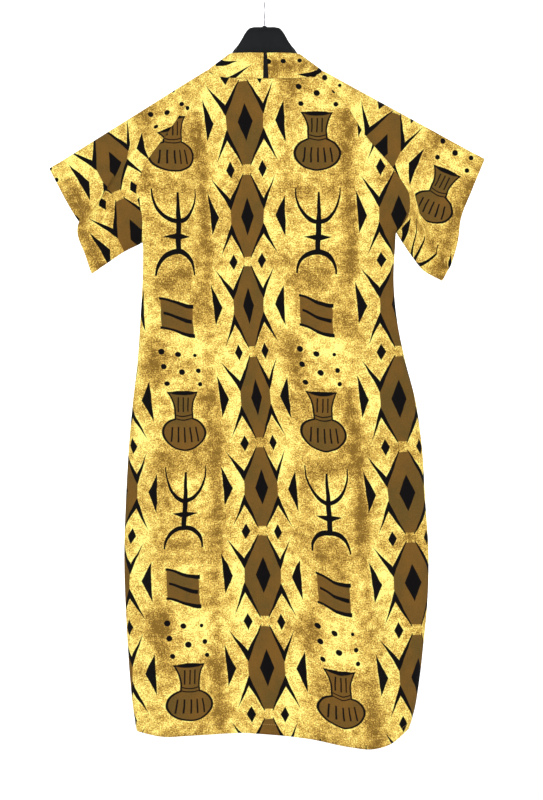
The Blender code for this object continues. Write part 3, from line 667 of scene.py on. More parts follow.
def neck_line(line, side, turn):
    """Flat points of the neck seam or the band's edge. The turn is 0 at the back, a right
    angle at the shoulder ridge and two right angles at the point of the V."""
    corner = getattr(line, side)
    on_back = turn <= np.pi / 2
    rise = (1.0 - np.cos(np.minimum(turn, np.pi / 2))) ** line.bend
    back_z = line.back_z + (corner.z - line.back_z) * rise
    down = v_share(turn)
    front_z = corner.z + (line.v_z - corner.z) * down
    x = np.where(on_back, corner.x * np.sin(turn), corner.x * (1.0 - down))
    return np.stack([x, np.where(on_back, back_z, front_z)], axis=-1)


def panel_turns(layer):
    """Turns round the neck, from the middle out, at a panel's columns on one side."""
    columns = np.arange(PANEL_COLUMNS // 2 + 1) / (PANEL_COLUMNS // 2)
    if layer == "back":
        return np.arcsin(columns * np.sin(RAGLAN_TOP_TURNS["back"]))
    first = v_share(np.array(RAGLAN_TOP_TURNS["front"]))
    return turn_at_share(1.0 - columns * (1.0 - first))


def raglan_of_layer(side, layer):
    """A raglan seam of the back or front, which share all but their end at the neck."""
    seam = raglan_seam(side)
    end = neck_line(NECK_SEAM, side, np.array([RAGLAN_TOP_TURNS[layer]]))[0]
    share = np.linspace(0.0, 1.0, RAGLAN_ROWS + 1)[:, None] ** 3
    return seam + (end - seam[-1]) * share


def panel_edge(side, layer):
    """One long edge of a body panel, from the hem to the neck."""
    foot = SIDE_SEAMS[-1].z
    armpit = UNDERARMS[side][0].z
    z = foot + (armpit - foot) * np.arange(SIDE_ROWS) / SIDE_ROWS
    side_seam = np.stack([by_height(SIDE_SEAMS, side, z), z], axis=-1)
    return np.concatenate([side_seam, raglan_of_layer(side, layer)])


def hem_line(share):
    """Flat points of the body's hem at shares of the way across."""
    x = SIDE_SEAMS[-1].left + (SIDE_SEAMS[-1].right - SIDE_SEAMS[-1].left) * share
    z = curve_through([row.x for row in HEM], [row.z for row in HEM], x)
    return np.stack([x, z], axis=-1)


def body_panel_flat(layer):
    """Flat grid of a body panel: rows from hem to neck, columns from left to right."""
    left = panel_edge("left", layer)
    right = panel_edge("right", layer)
    turns = panel_turns(layer)
    top = [neck_line(NECK_SEAM, "left", turns[::-1])[:-1], neck_line(NECK_SEAM, "right", turns)]
    top = np.concatenate(top)
    rows = len(left)
    across = np.linspace(-1.0, 1.0, PANEL_COLUMNS + 1)
    rounded = 0.5 + 0.5 * np.sin(across * np.pi / 2)
    even = 0.5 + 0.5 * across
    top_rise = top - (top[0] + (top[-1] - top[0]) * even[:, None])
    height = left[:, 1] + right[:, 1]
    risen = (height - height[0]) / (height[-1] - height[0])
    flat = np.empty((rows, PANEL_COLUMNS + 1, 2))
    for row in range(rows):
        up = row / (rows - 1)
        evenness = smooth_step((row - SIDE_ROWS) / RAGLAN_ROWS * 1.5)
        share = rounded + (even - rounded) * evenness
        chord = left[row] + (right[row] - left[row]) * share[:, None]
        hem = hem_line(share)
        hem_chord = left[0] + (right[0] - left[0]) * share[:, None]
        near_hem = (1.0 - up) ** HEM_PULL
        near_top = risen[row] ** NECK_PULL
        to_top = np.stack([np.interp(share, even, top_rise[:, i]) for i in (0, 1)], axis=-1)
        flat[row] = chord + (hem - hem_chord) * near_hem + to_top * near_top
    return flat


def sleeve_flat(side):
    """Flat grid of one sleeve: rows from the raglan seam to the hem, columns round the tube
    from the shoulder ridge down the back, along the underarm and up the front."""
    halves = []
    hems = []
    departures = []
    for layer in ("back", "front"):
        raglan = raglan_of_layer(side, layer)[::-1]
        past_ridge = RAGLAN_TOP_TURNS[layer] - np.pi / 2
        turns = np.pi / 2 + past_ridge * np.linspace(0.0, 1.0, NECK_TURN_CELLS + 1)
        neck = neck_line(NECK_SEAM, side, turns)
        halves.append(np.concatenate([neck[:-1], raglan]))
        cells = len(halves[-1]) - 1
        share = np.linspace(0.0, 1.0, cells + 1)
        spread = share - np.sin(2.0 * np.pi * share) / (2.0 * np.pi) * SLEEVE_HEM_SPREAD
        hems.append(along(SLEEVE_HEMS[side], spread))
        chord = hems[-1] - halves[-1]
        length = np.linalg.norm(chord, axis=1, keepdims=True)
        square = OUTWARD[side] * left_of(halves[-1])
        up_raglan = np.clip((cells - np.arange(cells + 1.0)) / RAGLAN_ROWS, 0.0, 1.0)
        turned = np.sin(np.pi * up_raglan)[:, None] * SLEEVE_DEPARTURE
        departures.append((square * length - chord) * turned)
    start = np.concatenate([halves[0], halves[1][-2:0:-1]])
    end = np.concatenate([hems[0], hems[1][-2:0:-1]])
    departure = np.concatenate([departures[0], departures[1][-2:0:-1]])
    out = np.linspace(0.0, 1.0, SLEEVE_LENGTH_CELLS + 1)
    flat = start + (end - start) * out[:, None, None]
    flat += departure * (out * (1.0 - out) ** 2)[:, None, None]
    armpit = len(halves[0]) - 1
    bulge = along(UNDERARMS[side], out) - flat[:, armpit]
    nearness = 1.0 - np.abs(np.arange(len(start)) - armpit) / armpit
    flat += bulge[:, None, :] * (nearness**3)[None, :, None]
    return flat, len(halves[0])


def band_turns():
    """Turns round the neck at the cells that the band shares with the panels and sleeve."""
    back = panel_turns("back")
    over = np.linspace(RAGLAN_TOP_TURNS["back"], np.pi / 2, NECK_TURN_CELLS + 1)[1:]
    down = np.linspace(np.pi / 2, RAGLAN_TOP_TURNS["front"], NECK_TURN_CELLS + 1)[1:]
    front = panel_turns("front")[::-1][1:]
    return np.concatenate([back, over, down, front])


# Where each bit of cloth lay on the printed length


def between_columns(places, values, x):
    """Values that run straight from one print column to the next, on past the outer ones."""
    found = None
    for i in range(len(places) - 1):
        share = (x - places[i]) / (places[i + 1] - places[i])
        line = values[i] + (values[i + 1] - values[i]) * share
        found = line if found is None else np.where(x > places[i], line, found)
    return found


def from_behind(points):
    """Flat x, z at which points stand against the middle plane, seen from straight behind."""
    middle = np.array([AIM_X, AIM_Z]) / MM
    reach = VIEW_DISTANCE / (VIEW_DISTANCE + points[..., 1:2] * MM)
    return middle + (points[..., (0, 2)] - middle) * reach


def beside_lozenges(values, z):
    """Values given beside each lozenge of the middle chain, read at any height."""
    return curve_through([row.z for row in LOZENGES[::-1]], values[::-1], z)


def print_on_back(flat):
    """Print coordinates of flat points of the back, so that each motif lies in its place."""
    x, z = flat[..., 0], flat[..., 1]
    columns = [beside_lozenges(column.x, z) for column in PRINT_COLUMNS]
    rises = [beside_lozenges(column.rise, z) for column in PRINT_COLUMNS]
    u = between_columns(columns, [column.u for column in PRINT_COLUMNS], x)
    level = z - between_columns(columns, rises, np.clip(x, columns[0], columns[-1]))
    held = np.clip(level, LOZENGES[-1].z, LOZENGES[0].z)
    v = by_height(LOZENGES, "v", held) + level - held
    tuck = by_height(LOZENGES, "tuck", z)
    u = u + tuck * (np.tanh(u / TUCK_HALF_WIDTH) - np.clip(u / THORN_PLACE, -1.0, 1.0))
    return np.stack([u, v], axis=-1)


def laid(flat, lay, mirrored=False):
    """Print coordinates of flat points, by how their piece was laid on the cloth."""
    side = -1.0 if mirrored else 1.0
    x, z = side * (flat[..., 0] - lay.x), flat[..., 1] - lay.z
    turn = np.radians(lay.turn)
    u = lay.u + x * np.cos(turn) + z * np.sin(turn)
    v = lay.v - x * np.sin(turn) + z * np.cos(turn)
    return np.stack([u, v], axis=-1)


def round_the_edges(flat):
    """What the rounded edges add to a flat place, since cloth there runs front to back."""
    to_ridge, to_seams = edge_shares(flat[..., 0], flat[..., 1])
    added = np.zeros(flat.shape)
    for turned, to_seam in zip(OUTWARD.values(), to_seams):
        rounded = quarter_round(to_seam / EDGE_RADIUS["lower"])
        added[..., 0] += turned * EDGE_SWELL * (1.0 - rounded)
    added[..., 1] = EDGE_SWELL * (1.0 - quarter_round(to_ridge / EDGE_RADIUS["shoulder"]))
    return added


def over_the_ridge(flat, side):
    """Flat points of a sleeve's front, unrolled over the shoulder ridge."""
    near, far = SHOULDER_POINTS[side]
    start = np.array([near.x, near.z], float)
    run = np.array([far.x, far.z], float) - start
    run /= np.linalg.norm(run)
    up = np.array([-run[1], run[0]]) * OUTWARD[side]
    below = ((flat - start) * up).sum(axis=-1, keepdims=True)
    return flat - 2.0 * below * up


# Meshes


def grid_normals(points, ring):
    """Outward directions of a grid of points from its own slopes. A ring's columns close."""
    if ring:
        wide = np.concatenate([points[:, -1:], points, points[:, :1]], axis=1)
        across = (wide[:, 2:] - wide[:, :-2]) / 2.0
    else:
        across = np.gradient(points, axis=1)
    up = np.gradient(points, axis=0)
    normals = np.cross(across, up)
    return normals / np.maximum(np.linalg.norm(normals, axis=-1, keepdims=True), 1e-9)


def share_first_row(normals, outer, flat, on_back):
    """Turns the first row's directions to those of the panels that the row is sewn to."""
    back, front = layer_normals("back", flat[0]), layer_normals("front", flat[0])
    clear_of_ridge = np.abs(outer[0, :, 1]) > 1.0
    shared = np.where(on_back[:, None], back, front)
    normals[0, clear_of_ridge] = shared[clear_of_ridge]


def from_edge(points, axis, last):
    """Distance of each grid point from the first or last row or column, along the cloth."""
    steps = np.linalg.norm(np.diff(points, axis=axis), axis=-1)
    if last:
        steps = np.flip(steps, axis=axis)
    start = np.zeros_like(np.take(steps, [0], axis=axis))
    run = np.concatenate([start, np.cumsum(steps, axis=axis)], axis=axis)
    return np.flip(run, axis=axis) if last else run


def sunk(points, normals, distances):
    """A grid pressed in along its seams, given each point's distance from them."""
    depth = sum(SEAM_SINK * np.exp(-((distance / SEAM_REACH) ** 2)) for distance in distances)
    return points - np.minimum(depth, SEAM_SINK)[..., None] * normals


def hem_turned(points, normals, distance, width):
    """A grid that stands a little proud where its hem is turned up."""
    proud = HEM_PROUD * smooth_step((width - distance) / HEM_STEP)
    return points + proud[..., None] * normals


def new_mesh_object(name, points, faces, materials, picks=None, places=None):
    """A smooth-shaded object from points in millimetres, with an optional print map."""
    data = bpy.data.meshes.new(name)
    data.from_pydata((np.asarray(points) * MM).tolist(), [], faces)
    for material in materials:
        data.materials.append(material)
    if picks is not None:
        data.polygons.foreach_set("material_index", np.asarray(picks, np.int32))
    if places is not None:
        corners = np.empty(len(data.loops), np.int32)
        data.loops.foreach_get("vertex_index", corners)
        on_cloth = (np.asarray(places)[corners] * MM).astype(np.float32)
        data.uv_layers.new(name="cloth").data.foreach_set("uv", on_cloth.ravel())
    data.shade_smooth()
    data.validate()
    piece = bpy.data.objects.new(name, data)
    bpy.context.scene.collection.objects.link(piece)
    return piece


def turn_outwards(piece):
    """Turns the faces of closed forms outwards."""
    shape = bmesh.new()
    shape.from_mesh(piece.data)
    bmesh.ops.recalc_face_normals(shape, faces=shape.faces[:])
    shape.to_mesh(piece.data)
    shape.free()


def cloth_wall(name, outer, normals, places, settings, ring=False, seam_shaded=0):
    """A closed wall of cloth between a grid of outer points and the same grid moved in. The
    first material is the printed face, the second the wrong side, and the third a painted
    seam shadow on the first few columns."""
    materials = cotton_pair(settings) + ([seam_shade_material(settings)] if seam_shaded else [])
    wall = settings.cloth.wall / MM
    rows, columns = outer.shape[:2]
    count = rows * columns
    points = np.concatenate([outer.reshape(-1, 3), (outer - wall * normals).reshape(-1, 3)])
    index = np.arange(count).reshape(rows, columns)
    step = np.roll(index, -1, axis=1)
    last = columns if ring else columns - 1
    quads = np.stack([index[:-1], step[:-1], step[1:], index[1:]], axis=-1)
    quads = quads[:, :last].reshape(-1, 4)
    corners = outer.reshape(-1, 3)[quads[len(quads) // 2]]
    facing = np.cross(corners[1] - corners[0], corners[2] - corners[0])
    turned_round = facing @ normals.reshape(-1, 3)[quads[len(quads) // 2][0]] < 0
    if turned_round:
        quads = quads[:, ::-1]
    rims = [index[0], index[-1][::-1]]
    if ring:
        rims = [np.append(rim, rim[0]) for rim in rims]
    else:
        rims += [index[::-1, 0], index[:, -1]]
    edge = np.concatenate([np.stack([rim[:-1], rim[1:]], axis=-1) for rim in rims])
    around = np.stack([edge[:, 1], edge[:, 0], edge[:, 0] + count, edge[:, 1] + count], axis=-1)
    if turned_round:
        around = around[:, ::-1]
    faces = np.concatenate([quads, quads[:, ::-1] + count, around])
    # Faces on the first columns take the third material, a seam shadow painted dark
    face_picks = np.where(np.arange(len(quads)) % last < seam_shaded, 2, 0)
    picks = np.concatenate([face_picks, np.ones(len(quads)), np.zeros(len(around))])
    doubled = np.concatenate([places.reshape(-1, 2)] * 2)
    return new_mesh_object(name, points, faces.tolist(), materials, picks, doubled)


def line_at(points, normals, distances, inset):
    """The line that runs at an even inset from an edge, with its outward directions. The
    distances grow along the first axis of the grid."""
    line = np.empty((points.shape[1], 3))
    out = np.empty((points.shape[1], 3))
    for column in range(points.shape[1]):
        order = np.argsort(distances[:, column])
        run = distances[order, column]
        for i in range(3):
            line[column, i] = np.interp(inset, run, points[order, column, i])
            out[column, i] = np.interp(inset, run, normals[order, column, i])
    return line, out / np.linalg.norm(out, axis=1, keepdims=True)


def tube_faces(rings, count, first):
    """Faces of a tube through rings of points, closed at both ends. Each ring has the same
    count of points, and the first point of all has the number given."""
    faces = []
    for ring in range(rings - 1):
        for place in range(count):
            a, b = first + ring * count + place, first + ring * count + (place + 1) % count
            faces.append((a, b, b + count, a + count))
    last = first + (rings - 1) * count
    faces.append(tuple(range(first + count - 1, first - 1, -1)))
    faces.append(tuple(range(last, last + count)))
    return faces


def stitches_along(line, out, cloth):
    """Points and faces of the stitches of one seam, each a short rounded length of thread."""
    steps = np.linalg.norm(np.diff(line, axis=0), axis=1)
    run = np.concatenate([[0.0], np.cumsum(steps)])
    pitch, length, radius = cloth.pitch / MM, cloth.stitch / MM, cloth.thread / MM / 2.0
    centres = np.arange(pitch, run[-1] - pitch, pitch)
    turn = np.linspace(0.0, 2.0 * np.pi, 6, endpoint=False)
    stations = ((-0.5, 0.25, -0.2), (-0.3, 0.9, 0.15), (0.3, 0.9, 0.15), (0.5, 0.25, -0.2))
    points = []
    faces = []
    for centre in centres:
        first = len(points)
        for share, fat, lift in stations:
            at = centre + share * length
            middle = np.array([np.interp(at, run, line[:, i]) for i in range(3)])
            away = np.array([np.interp(at, run, out[:, i]) for i in range(3)])
            ahead = np.array([np.interp(at + 0.5, run, line[:, i]) for i in range(3)]) - middle
            side = np.cross(ahead, away)
            side /= max(np.linalg.norm(side), 1e-9)
            middle = middle + away * lift * radius
            for angle in turn:
                beside = np.cos(angle) * side + np.sin(angle) * away
                points.append(middle + fat * radius * beside)
        faces += tube_faces(len(stations), len(turn), first)
    return points, faces


def joined_piece(name, forms, material):
    """One object from several closed forms, each given as its points and faces."""
    points = []
    faces = []
    for more_points, more_faces in forms:
        faces += [tuple(corner + len(points) for corner in face) for face in more_faces]
        points += list(more_points)
    piece = new_mesh_object(name, points, faces, [material])
    turn_outwards(piece)
    return piece


# Materials


class Signal:
    """A number inside a node tree, on which sums are written as in algebra."""

    def __init__(self, tree, socket):
        self.tree = tree
        self.socket = socket

    def joined(self, operation, *others, clamp=False):
        node = self.tree.nodes.new("ShaderNodeMath")
        node.operation = operation
        node.use_clamp = clamp
        for place, value in zip(node.inputs, (self, *others)):
            if isinstance(value, Signal):
                self.tree.links.new(value.socket, place)
            else:
                place.default_value = value
        return Signal(self.tree, node.outputs[0])

    def __add__(self, other):
        return self.joined("ADD", other)

    def __sub__(self, other):
        return self.joined("SUBTRACT", other)

    def __mul__(self, other):
        return self.joined("MULTIPLY", other)

    def __truediv__(self, other):
        return self.joined("DIVIDE", other)

    def __neg__(self):
        return self.joined("MULTIPLY", -1.0)

    def __abs__(self):
        return self.joined("ABSOLUTE")

    def plus(self, factor, addend):
        """The number times a factor, plus an addend."""
        return self.joined("MULTIPLY_ADD", factor, addend)

    def more(self, other):
        return self.joined("MAXIMUM", other)

    def less(self, other):
        return self.joined("MINIMUM", other)

    def wrapped(self, low, high):
        return self.joined("WRAP", high, low)

    def sine(self):
        return self.joined("SINE")

    def squared(self):
        return self.joined("POWER", 2.0)

    def rooted(self):
        return self.joined("SQRT")

    def share(self, low, high):
        """0 at low, 1 at high, and straight between them."""
        return self.joined("MULTIPLY_ADD", 1.0 / (high - low), -low / (high - low), clamp=True)

    def printed(self, soft=INK_SOFT):
        """1 inside a shape and 0 outside it, from a distance in millimetres."""
        return self.joined("MULTIPLY_ADD", 1.0 / soft, 0.5, clamp=True)


def new_group(name, inputs, outputs):
    """An empty shader node group with named sockets, and its two end nodes."""
    tree = bpy.data.node_groups.new(name, "ShaderNodeTree")
    for label, kind, value in inputs:
        socket = tree.interface.new_socket(name=label, in_out="INPUT", socket_type=kind)
        if value is not None:
            socket.default_value = value
    for label, kind in outputs:
        tree.interface.new_socket(name=label, in_out="OUTPUT", socket_type=kind)
    return tree, tree.nodes.new("NodeGroupInput"), tree.nodes.new("NodeGroupOutput")


def noise(tree, place, scale, detail, roughness=0.5):
    """A noise that reads a place in metres; its pattern is about 1/scale metres across."""
    node = tree.nodes.new("ShaderNodeTexNoise")
    tree.links.new(place, node.inputs["Vector"])
    node.inputs["Scale"].default_value = scale
    node.inputs["Detail"].default_value = detail
    node.inputs["Roughness"].default_value = roughness
    return node


def noise_signal(tree, place, scale, detail, roughness=0.5):
    """The same noise as a signal."""
    return Signal(tree, noise(tree, place, scale, detail, roughness).outputs["Fac"])


def blended(tree, share, first, second):
    """A colour between two others, by a signal. Each may be a socket or a colour."""
    node = tree.nodes.new("ShaderNodeMix")
    node.data_type = "RGBA"
    tree.links.new(share.socket, node.inputs["Factor"])
    for place, colour in ((node.inputs["A"], first), (node.inputs["B"], second)):
        if isinstance(colour, bpy.types.NodeSocket):
            tree.links.new(colour, place)
        else:
            place.default_value = (*colour, 1.0)
    return node.outputs["Result"]


# The drawn shapes, as distances into them in millimetres. A symbol's s runs across its column
# and its t up from the jar's rim; a lozenge's p and q run both ways from its middle.


def chain_shapes(across, along_chain):
    """Distances into the dark and the brown shapes of the lozenge chain, from a place across
    the chain and one along it from a lozenge's middle. The upper left arms reach furthest."""
    p, q = abs(across), abs(along_chain)
    past = (q - 14.0).more(0.0)
    inner = past.plus(-0.434, 34.5)
    brown = (inner - p).less(-q + 73.0)
    leftward, upward = (-across).share(-1.0, 1.0), along_chain.share(-1.0, 1.0)
    reach = (leftward * upward).plus(0.22, 0.34)
    reach = reach + (leftward - 1.0) * (upward - 1.0) * 0.10
    outer = reach * past + 34.6
    dark = (p - inner).less(outer - p).less(q - 14.0)
    gap_start = (q - 29.0).more(0.0).plus(-0.590, 35.2)
    gap_end = reach * (q - 32.0).more(0.0) * 1.52 + 35.6
    dark = dark.less((p - gap_start).less(gap_end - p) * -1.0)
    dark = dark.less(-q + 75.0)
    eye = (p / 13.2 + q / 31.0).plus(-11.9, 11.9)
    dark = dark.more(eye)
    small = (abs(p - 31.5) / 7.2 + abs(q - 82.0) / 13.0).plus(-6.2, 6.2)
    dark = dark.more(small)
    lean = along_chain * across.share(-1.0, 1.0).plus(0.10, -0.08)
    side = (p - 56.0 - q * 0.460).less(-p + 71.0 - lean)
    return dark.more(side) + INK_SPREAD, brown


def ellipse(s, t, t_middle, half_width, half_height):
    """Distance into an ellipse on the symbols' axis."""
    off = (s / half_width).squared() + ((t - t_middle) / half_height).squared()
    return off.rooted().plus(-half_height, half_height)


def jar_shapes(s, t):
    """A round jar: a body with short strokes and a neck that opens to its rim."""
    wide = abs(s)
    belly = ellipse(s, t, -57.0, 38.0, 27.0)
    flare = (t + 18.0).more(0.0).squared()
    neck = (flare.plus(0.010, 15.5) - wide).less(-t + 13.0).less(t + 54.0)
    jar = belly.more(neck)
    dark = -abs(jar) + 1.5
    rim = ellipse(s, t, 12.5, 22.0, 4.0)
    dark = dark.more(rim)
    slant = s + (t + 58.0) * s * 0.006
    strokes = (-abs(slant.wrapped(-5.6, 5.6)) + 1.4).less(-abs(t + 59.0) + 12.5)
    dark = dark.more(strokes.less(-wide + 27.0))
    pleats = (-abs((s - t * 0.06).wrapped(-4.4, 4.4)) + 1.15).less(-abs(t + 8.0) + 12.5)
    dark = dark.more(pleats.less(-wide + 12.5))
    cord = (-abs(abs(t + 31.0 - s * s * 0.012) - 3.0) + 1.0).less(-wide + 14.0)
    return dark.more(cord), jar


def fork_shapes(s, t):
    """A three-pronged fork over an arch, with a flat pointed bar across its stem."""
    depth = (t + 117.0) * -1.0
    cup = -abs(ellipse(s, t, -117.0, 37.0, 56.0)) + depth.share(0.0, 56.0).plus(2.6, 1.6)
    cup = cup.less(depth + 2.0)
    stem = depth.share(4.0, 60.0).plus(2.6, 1.9) - abs(s)
    stem = stem.less(depth - 4.0).less(t + 228.0)
    bar = (abs(s) / 23.5 + abs(t + 200.0) / 6.5).plus(-6.4, 6.4)
    above = t + 264.0
    arch = -abs(ellipse(s, t, -268.0, 32.5, 42.0)) + above.share(0.0, 36.0).plus(2.7, 2.1)
    arch = arch.less(above + 4.0)
    return cup.more(stem).more(bar).more(arch)


def banner_shapes(s, t):
    """A waving banner with three dark lines across it."""
    wave = (s.less(30.0).more(-30.0) * (np.pi / 60.0)).sine()
    level = t + 342.0 + wave * 8.5
    banner = (-abs(level) + 27.5).less(-abs(s) + 27.0)
    swollen = (s * 0.06).sine().plus(0.7, 3.0)
    edge_lines = swollen - abs(abs(level) - 26.5)
    middle_line = (swollen - abs(level + s * 0.04)).less(s + 23.0).less(-s + 25.0)
    lines = edge_lines.more(middle_line).less(-abs(s) + 29.0)
    return lines, banner


# Spots above each jar: place across and down from the symbols' axis, and radius
DotRow = namedtuple("DotRow", "s t radius")
DOTS = listed(
    DotRow, (-30.6, -404, 4.8), (-4.5, -409, 4.6), (26.5, -411, 2.8), (-28.8, -431, 4.4),
    (0.5, -442, 4.9), (30.6, -439, 3.9), (-26.0, -462, 4.0), (32.4, -463, 3.6),
)

# Soft patches of the ground round the symbols: place, half sizes, and how much lighter
PatchRow = namedtuple("PatchRow", "s t half_width half_height lighter")
PATCHES = listed(
    PatchRow,
    (-42, -422, 18, 46, -0.46),
    (18, -392, 34, 30, 0.34),
    (6, -452, 60, 26, 0.22),
    (0, -266, 28, 30, -0.22),
    (-4, -150, 26, 34, 0.16),
    (56, -190, 13, 120, -0.42),
    (50, -20, 14, 62, -0.30),
    (-6, -118, 44, 16, -0.22),
    (-46, -345, 16, 40, 0.20),
)


def print_group(colours):
    """The printed cloth: its colour at a place on the uncut length, in metres."""
    tree, start, end = new_group(
        "tunic_print",
        (
            ("Place", "NodeSocketVector", None),
            *((name, "NodeSocketColor", (*getattr(colours, name.lower()), 1.0))
              for name in ("Pale", "Gold", "Olive", "Brown", "Ash", "Ink")),
        ),
        (("Color", "NodeSocketColor"), ("Ink Mask", "NodeSocketFloat")),
    )
    place = start.outputs["Place"]
    wander = noise(tree, place, 42.0, 1.0)
    shift = tree.nodes.new("ShaderNodeVectorMath")
    shift.operation = "MULTIPLY_ADD"
    tree.links.new(wander.outputs["Color"], shift.inputs[0])
    shift.inputs[1].default_value = (PRINT_WANDER * MM, PRINT_WANDER * MM, 0.0)
    tree.links.new(place, shift.inputs[2])
    axes = tree.nodes.new("ShaderNodeSeparateXYZ")
    tree.links.new(shift.outputs[0], axes.inputs[0])
    u = Signal(tree, axes.outputs["X"]).plus(1.0 / MM, -PRINT_WANDER / 2.0)
    v = Signal(tree, axes.outputs["Y"]).plus(1.0 / MM, -PRINT_WANDER / 2.0)

    half_chain, half_lozenge = CHAIN_REPEAT / 2.0, LOZENGE_REPEAT / 2.0
    across = u.wrapped(-half_chain, half_chain)
    dark, brown = chain_shapes(across, v.wrapped(-half_lozenge, half_lozenge))
    p = abs(across)
    s = (u - SYMBOL_PLACE).wrapped(-half_chain, half_chain)
    t = v.wrapped(SYMBOL_TOP - SYMBOL_REPEAT, SYMBOL_TOP)
    jar_dark, jar = jar_shapes(s, t)
    dark, brown = dark.more(jar_dark), brown.more(jar)
    dark = dark.more(fork_shapes(s, t))
    lines, banner = banner_shapes(s, t)
    dark, brown = dark.more(lines), brown.more(banner)
    for dot in DOTS:
        off = (s - dot.s).squared() + (t - dot.t).squared()
        dark = dark.more(-off.rooted() + (dot.radius + 0.5))
    dark_mask = dark.printed()
    brown_mask = brown.printed()

    fine = noise_signal(tree, place, 430.0, 2.0, 0.65)
    sponge = noise_signal(tree, place, 62.0, 4.0, 0.72)
    cloud = noise_signal(tree, place, 13.0, 2.0, 0.5)
    light = (sponge - 0.5) * 1.9 + 0.56
    light = light + (fine - 0.5) * 2.4
    light = light + (cloud - 0.5) * 1.2
    light = light + dark.share(-4.0, -0.8) * 0.12
    light = light + (-abs(p - 92.0)).share(-34.0, 0.0) * -0.05
    light = light + (-abs(p - 46.0)).share(-38.0, -6.0) * 0.16
    for patch in PATCHES:
        beside = ((s - patch.s) / patch.half_width).squared()
        down = ((t - patch.t) / patch.half_height).squared()
        soft = (beside + down).plus(-0.4, 1.0).more(0.0)
        light = light + soft * soft * patch.lighter
    olive, gold, pale = (start.outputs[name] for name in ("Olive", "Gold", "Pale"))
    ground = blended(tree, light.share(0.12, 0.67), olive, gold)
    ground = blended(tree, light.share(0.67, 1.0), ground, pale)
    motif_light = (fine - 0.5) * 0.7 + 1.0
    tinted = tree.nodes.new("ShaderNodeVectorMath")
    tinted.operation = "SCALE"
    warmth = (cloud + (sponge - 0.5) * 0.6).share(0.36, 0.64)
    browns = blended(tree, warmth, start.outputs["Brown"], start.outputs["Ash"])
    tree.links.new(browns, tinted.inputs[0])
    tree.links.new(motif_light.socket, tinted.inputs["Scale"])
    colour = blended(tree, brown_mask, ground, tinted.outputs[0])
    colour = blended(tree, dark_mask, colour, start.outputs["Ink"])
    tree.links.new(colour, end.inputs["Color"])
    tree.links.new(dark_mask.socket, end.inputs["Ink Mask"])
    return tree


def weave_group():
    """Plain weave: yarns that cross over and under, and a slow unevenness of the yarn."""
    tree, start, end = new_group(
        "tunic_weave",
        (("Place", "NodeSocketVector", None), ("Yarn", "NodeSocketFloat", 0.0009)),
        (("Height", "NodeSocketFloat"), ("Fuzz", "NodeSocketFloat")),
    )
    axes = tree.nodes.new("ShaderNodeSeparateXYZ")
    tree.links.new(start.outputs["Place"], axes.inputs[0])
    yarn = Signal(tree, start.outputs["Yarn"])
    across = (Signal(tree, axes.outputs["X"]) / yarn * np.pi).sine()
    down = (Signal(tree, axes.outputs["Y"]) / yarn * np.pi).sine()
    height = abs(across * down)
    uneven = noise_signal(tree, start.outputs["Place"], 700.0, 2.0)
    tree.links.new((height * 0.7 + uneven * 0.6).socket, end.inputs["Height"])
    tree.links.new(uneven.socket, end.inputs["Fuzz"])
    return tree


def new_material(name, **constants):
    """A material with one Principled shader and the constant values of its sockets."""
    material = bpy.data.materials.new(name)
    material.use_nodes = True
    shader = material.node_tree.nodes["Principled BSDF"]
    for label, value in constants.items():
        shader.inputs[label.replace("_", " ")].default_value = value
    return material, material.node_tree, shader


def surfaced(tree, shader, colour, roughness):
    """Joins a colour and a signal to the shader's first sockets."""
    tree.links.new(colour, shader.inputs["Base Color"])
    tree.links.new(roughness.socket, shader.inputs["Roughness"])


def bumped(tree, shader, height, strength, distance):
    """Lets a height in the range 0 to 1 turn the shader's normals."""
    bump = tree.nodes.new("ShaderNodeBump")
    bump.inputs["Strength"].default_value = strength
    bump.inputs["Distance"].default_value = distance
    tree.links.new(height, bump.inputs["Height"])
    tree.links.new(bump.outputs["Normal"], shader.inputs["Normal"])


def group_node(tree, group, place):
    """A group in a material, reading a place."""
    node = tree.nodes.new("ShaderNodeGroup")
    node.node_tree = group
    tree.links.new(place, node.inputs["Place"])
    return node


def cotton(name, wrong_side, printed, weave, settings):
    """Printed cotton. The wrong side shows the print paler, as it strikes through."""
    material, tree, shader = new_material(
        name, Sheen_Weight=0.012, Sheen_Roughness=0.6, Specular_IOR_Level=0.04
    )
    shader.inputs["Sheen Tint"].default_value = (1.0, 0.93, 0.72, 1.0)
    cloth_map = tree.nodes.new("ShaderNodeUVMap")
    cloth_map.uv_map = "cloth"
    place = cloth_map.outputs["UV"]
    picture = group_node(tree, printed, place)
    yarns = group_node(tree, weave, place)
    yarns.inputs["Yarn"].default_value = settings.cloth.weave
    fuzz = Signal(tree, yarns.outputs["Fuzz"])
    colour = picture.outputs["Color"]
    if wrong_side:
        faded = (fuzz - 0.5) * 0.2 + 0.52
        colour = blended(tree, faded, colour, srgb(236, 214, 150))
    ink = Signal(tree, picture.outputs["Ink Mask"])
    surfaced(tree, shader, colour, ink * -0.1 + 0.86 + (fuzz - 0.5) * 0.12)
    bumped(tree, shader, yarns.outputs["Height"], 0.35, 0.00012)
    return material


def object_place(tree):
    """Where a point is on the object, in metres."""
    return tree.nodes.new("ShaderNodeTexCoord").outputs["Object"]


def thread_material(settings):
    """Cotton sewing thread, a little uneven."""
    constants = {"Sheen_Weight": 0.3, "Specular_IOR_Level": 0.3}
    material, tree, shader = new_material("tunic_thread", **constants)
    twist = noise_signal(tree, object_place(tree), 900.0, 2.0)
    dark = tuple(0.55 * value for value in settings.colours.thread)
    colour = blended(tree, twist, dark, tuple(settings.colours.thread))
    surfaced(tree, shader, colour, twist * 0.2 + 0.6)
    return material


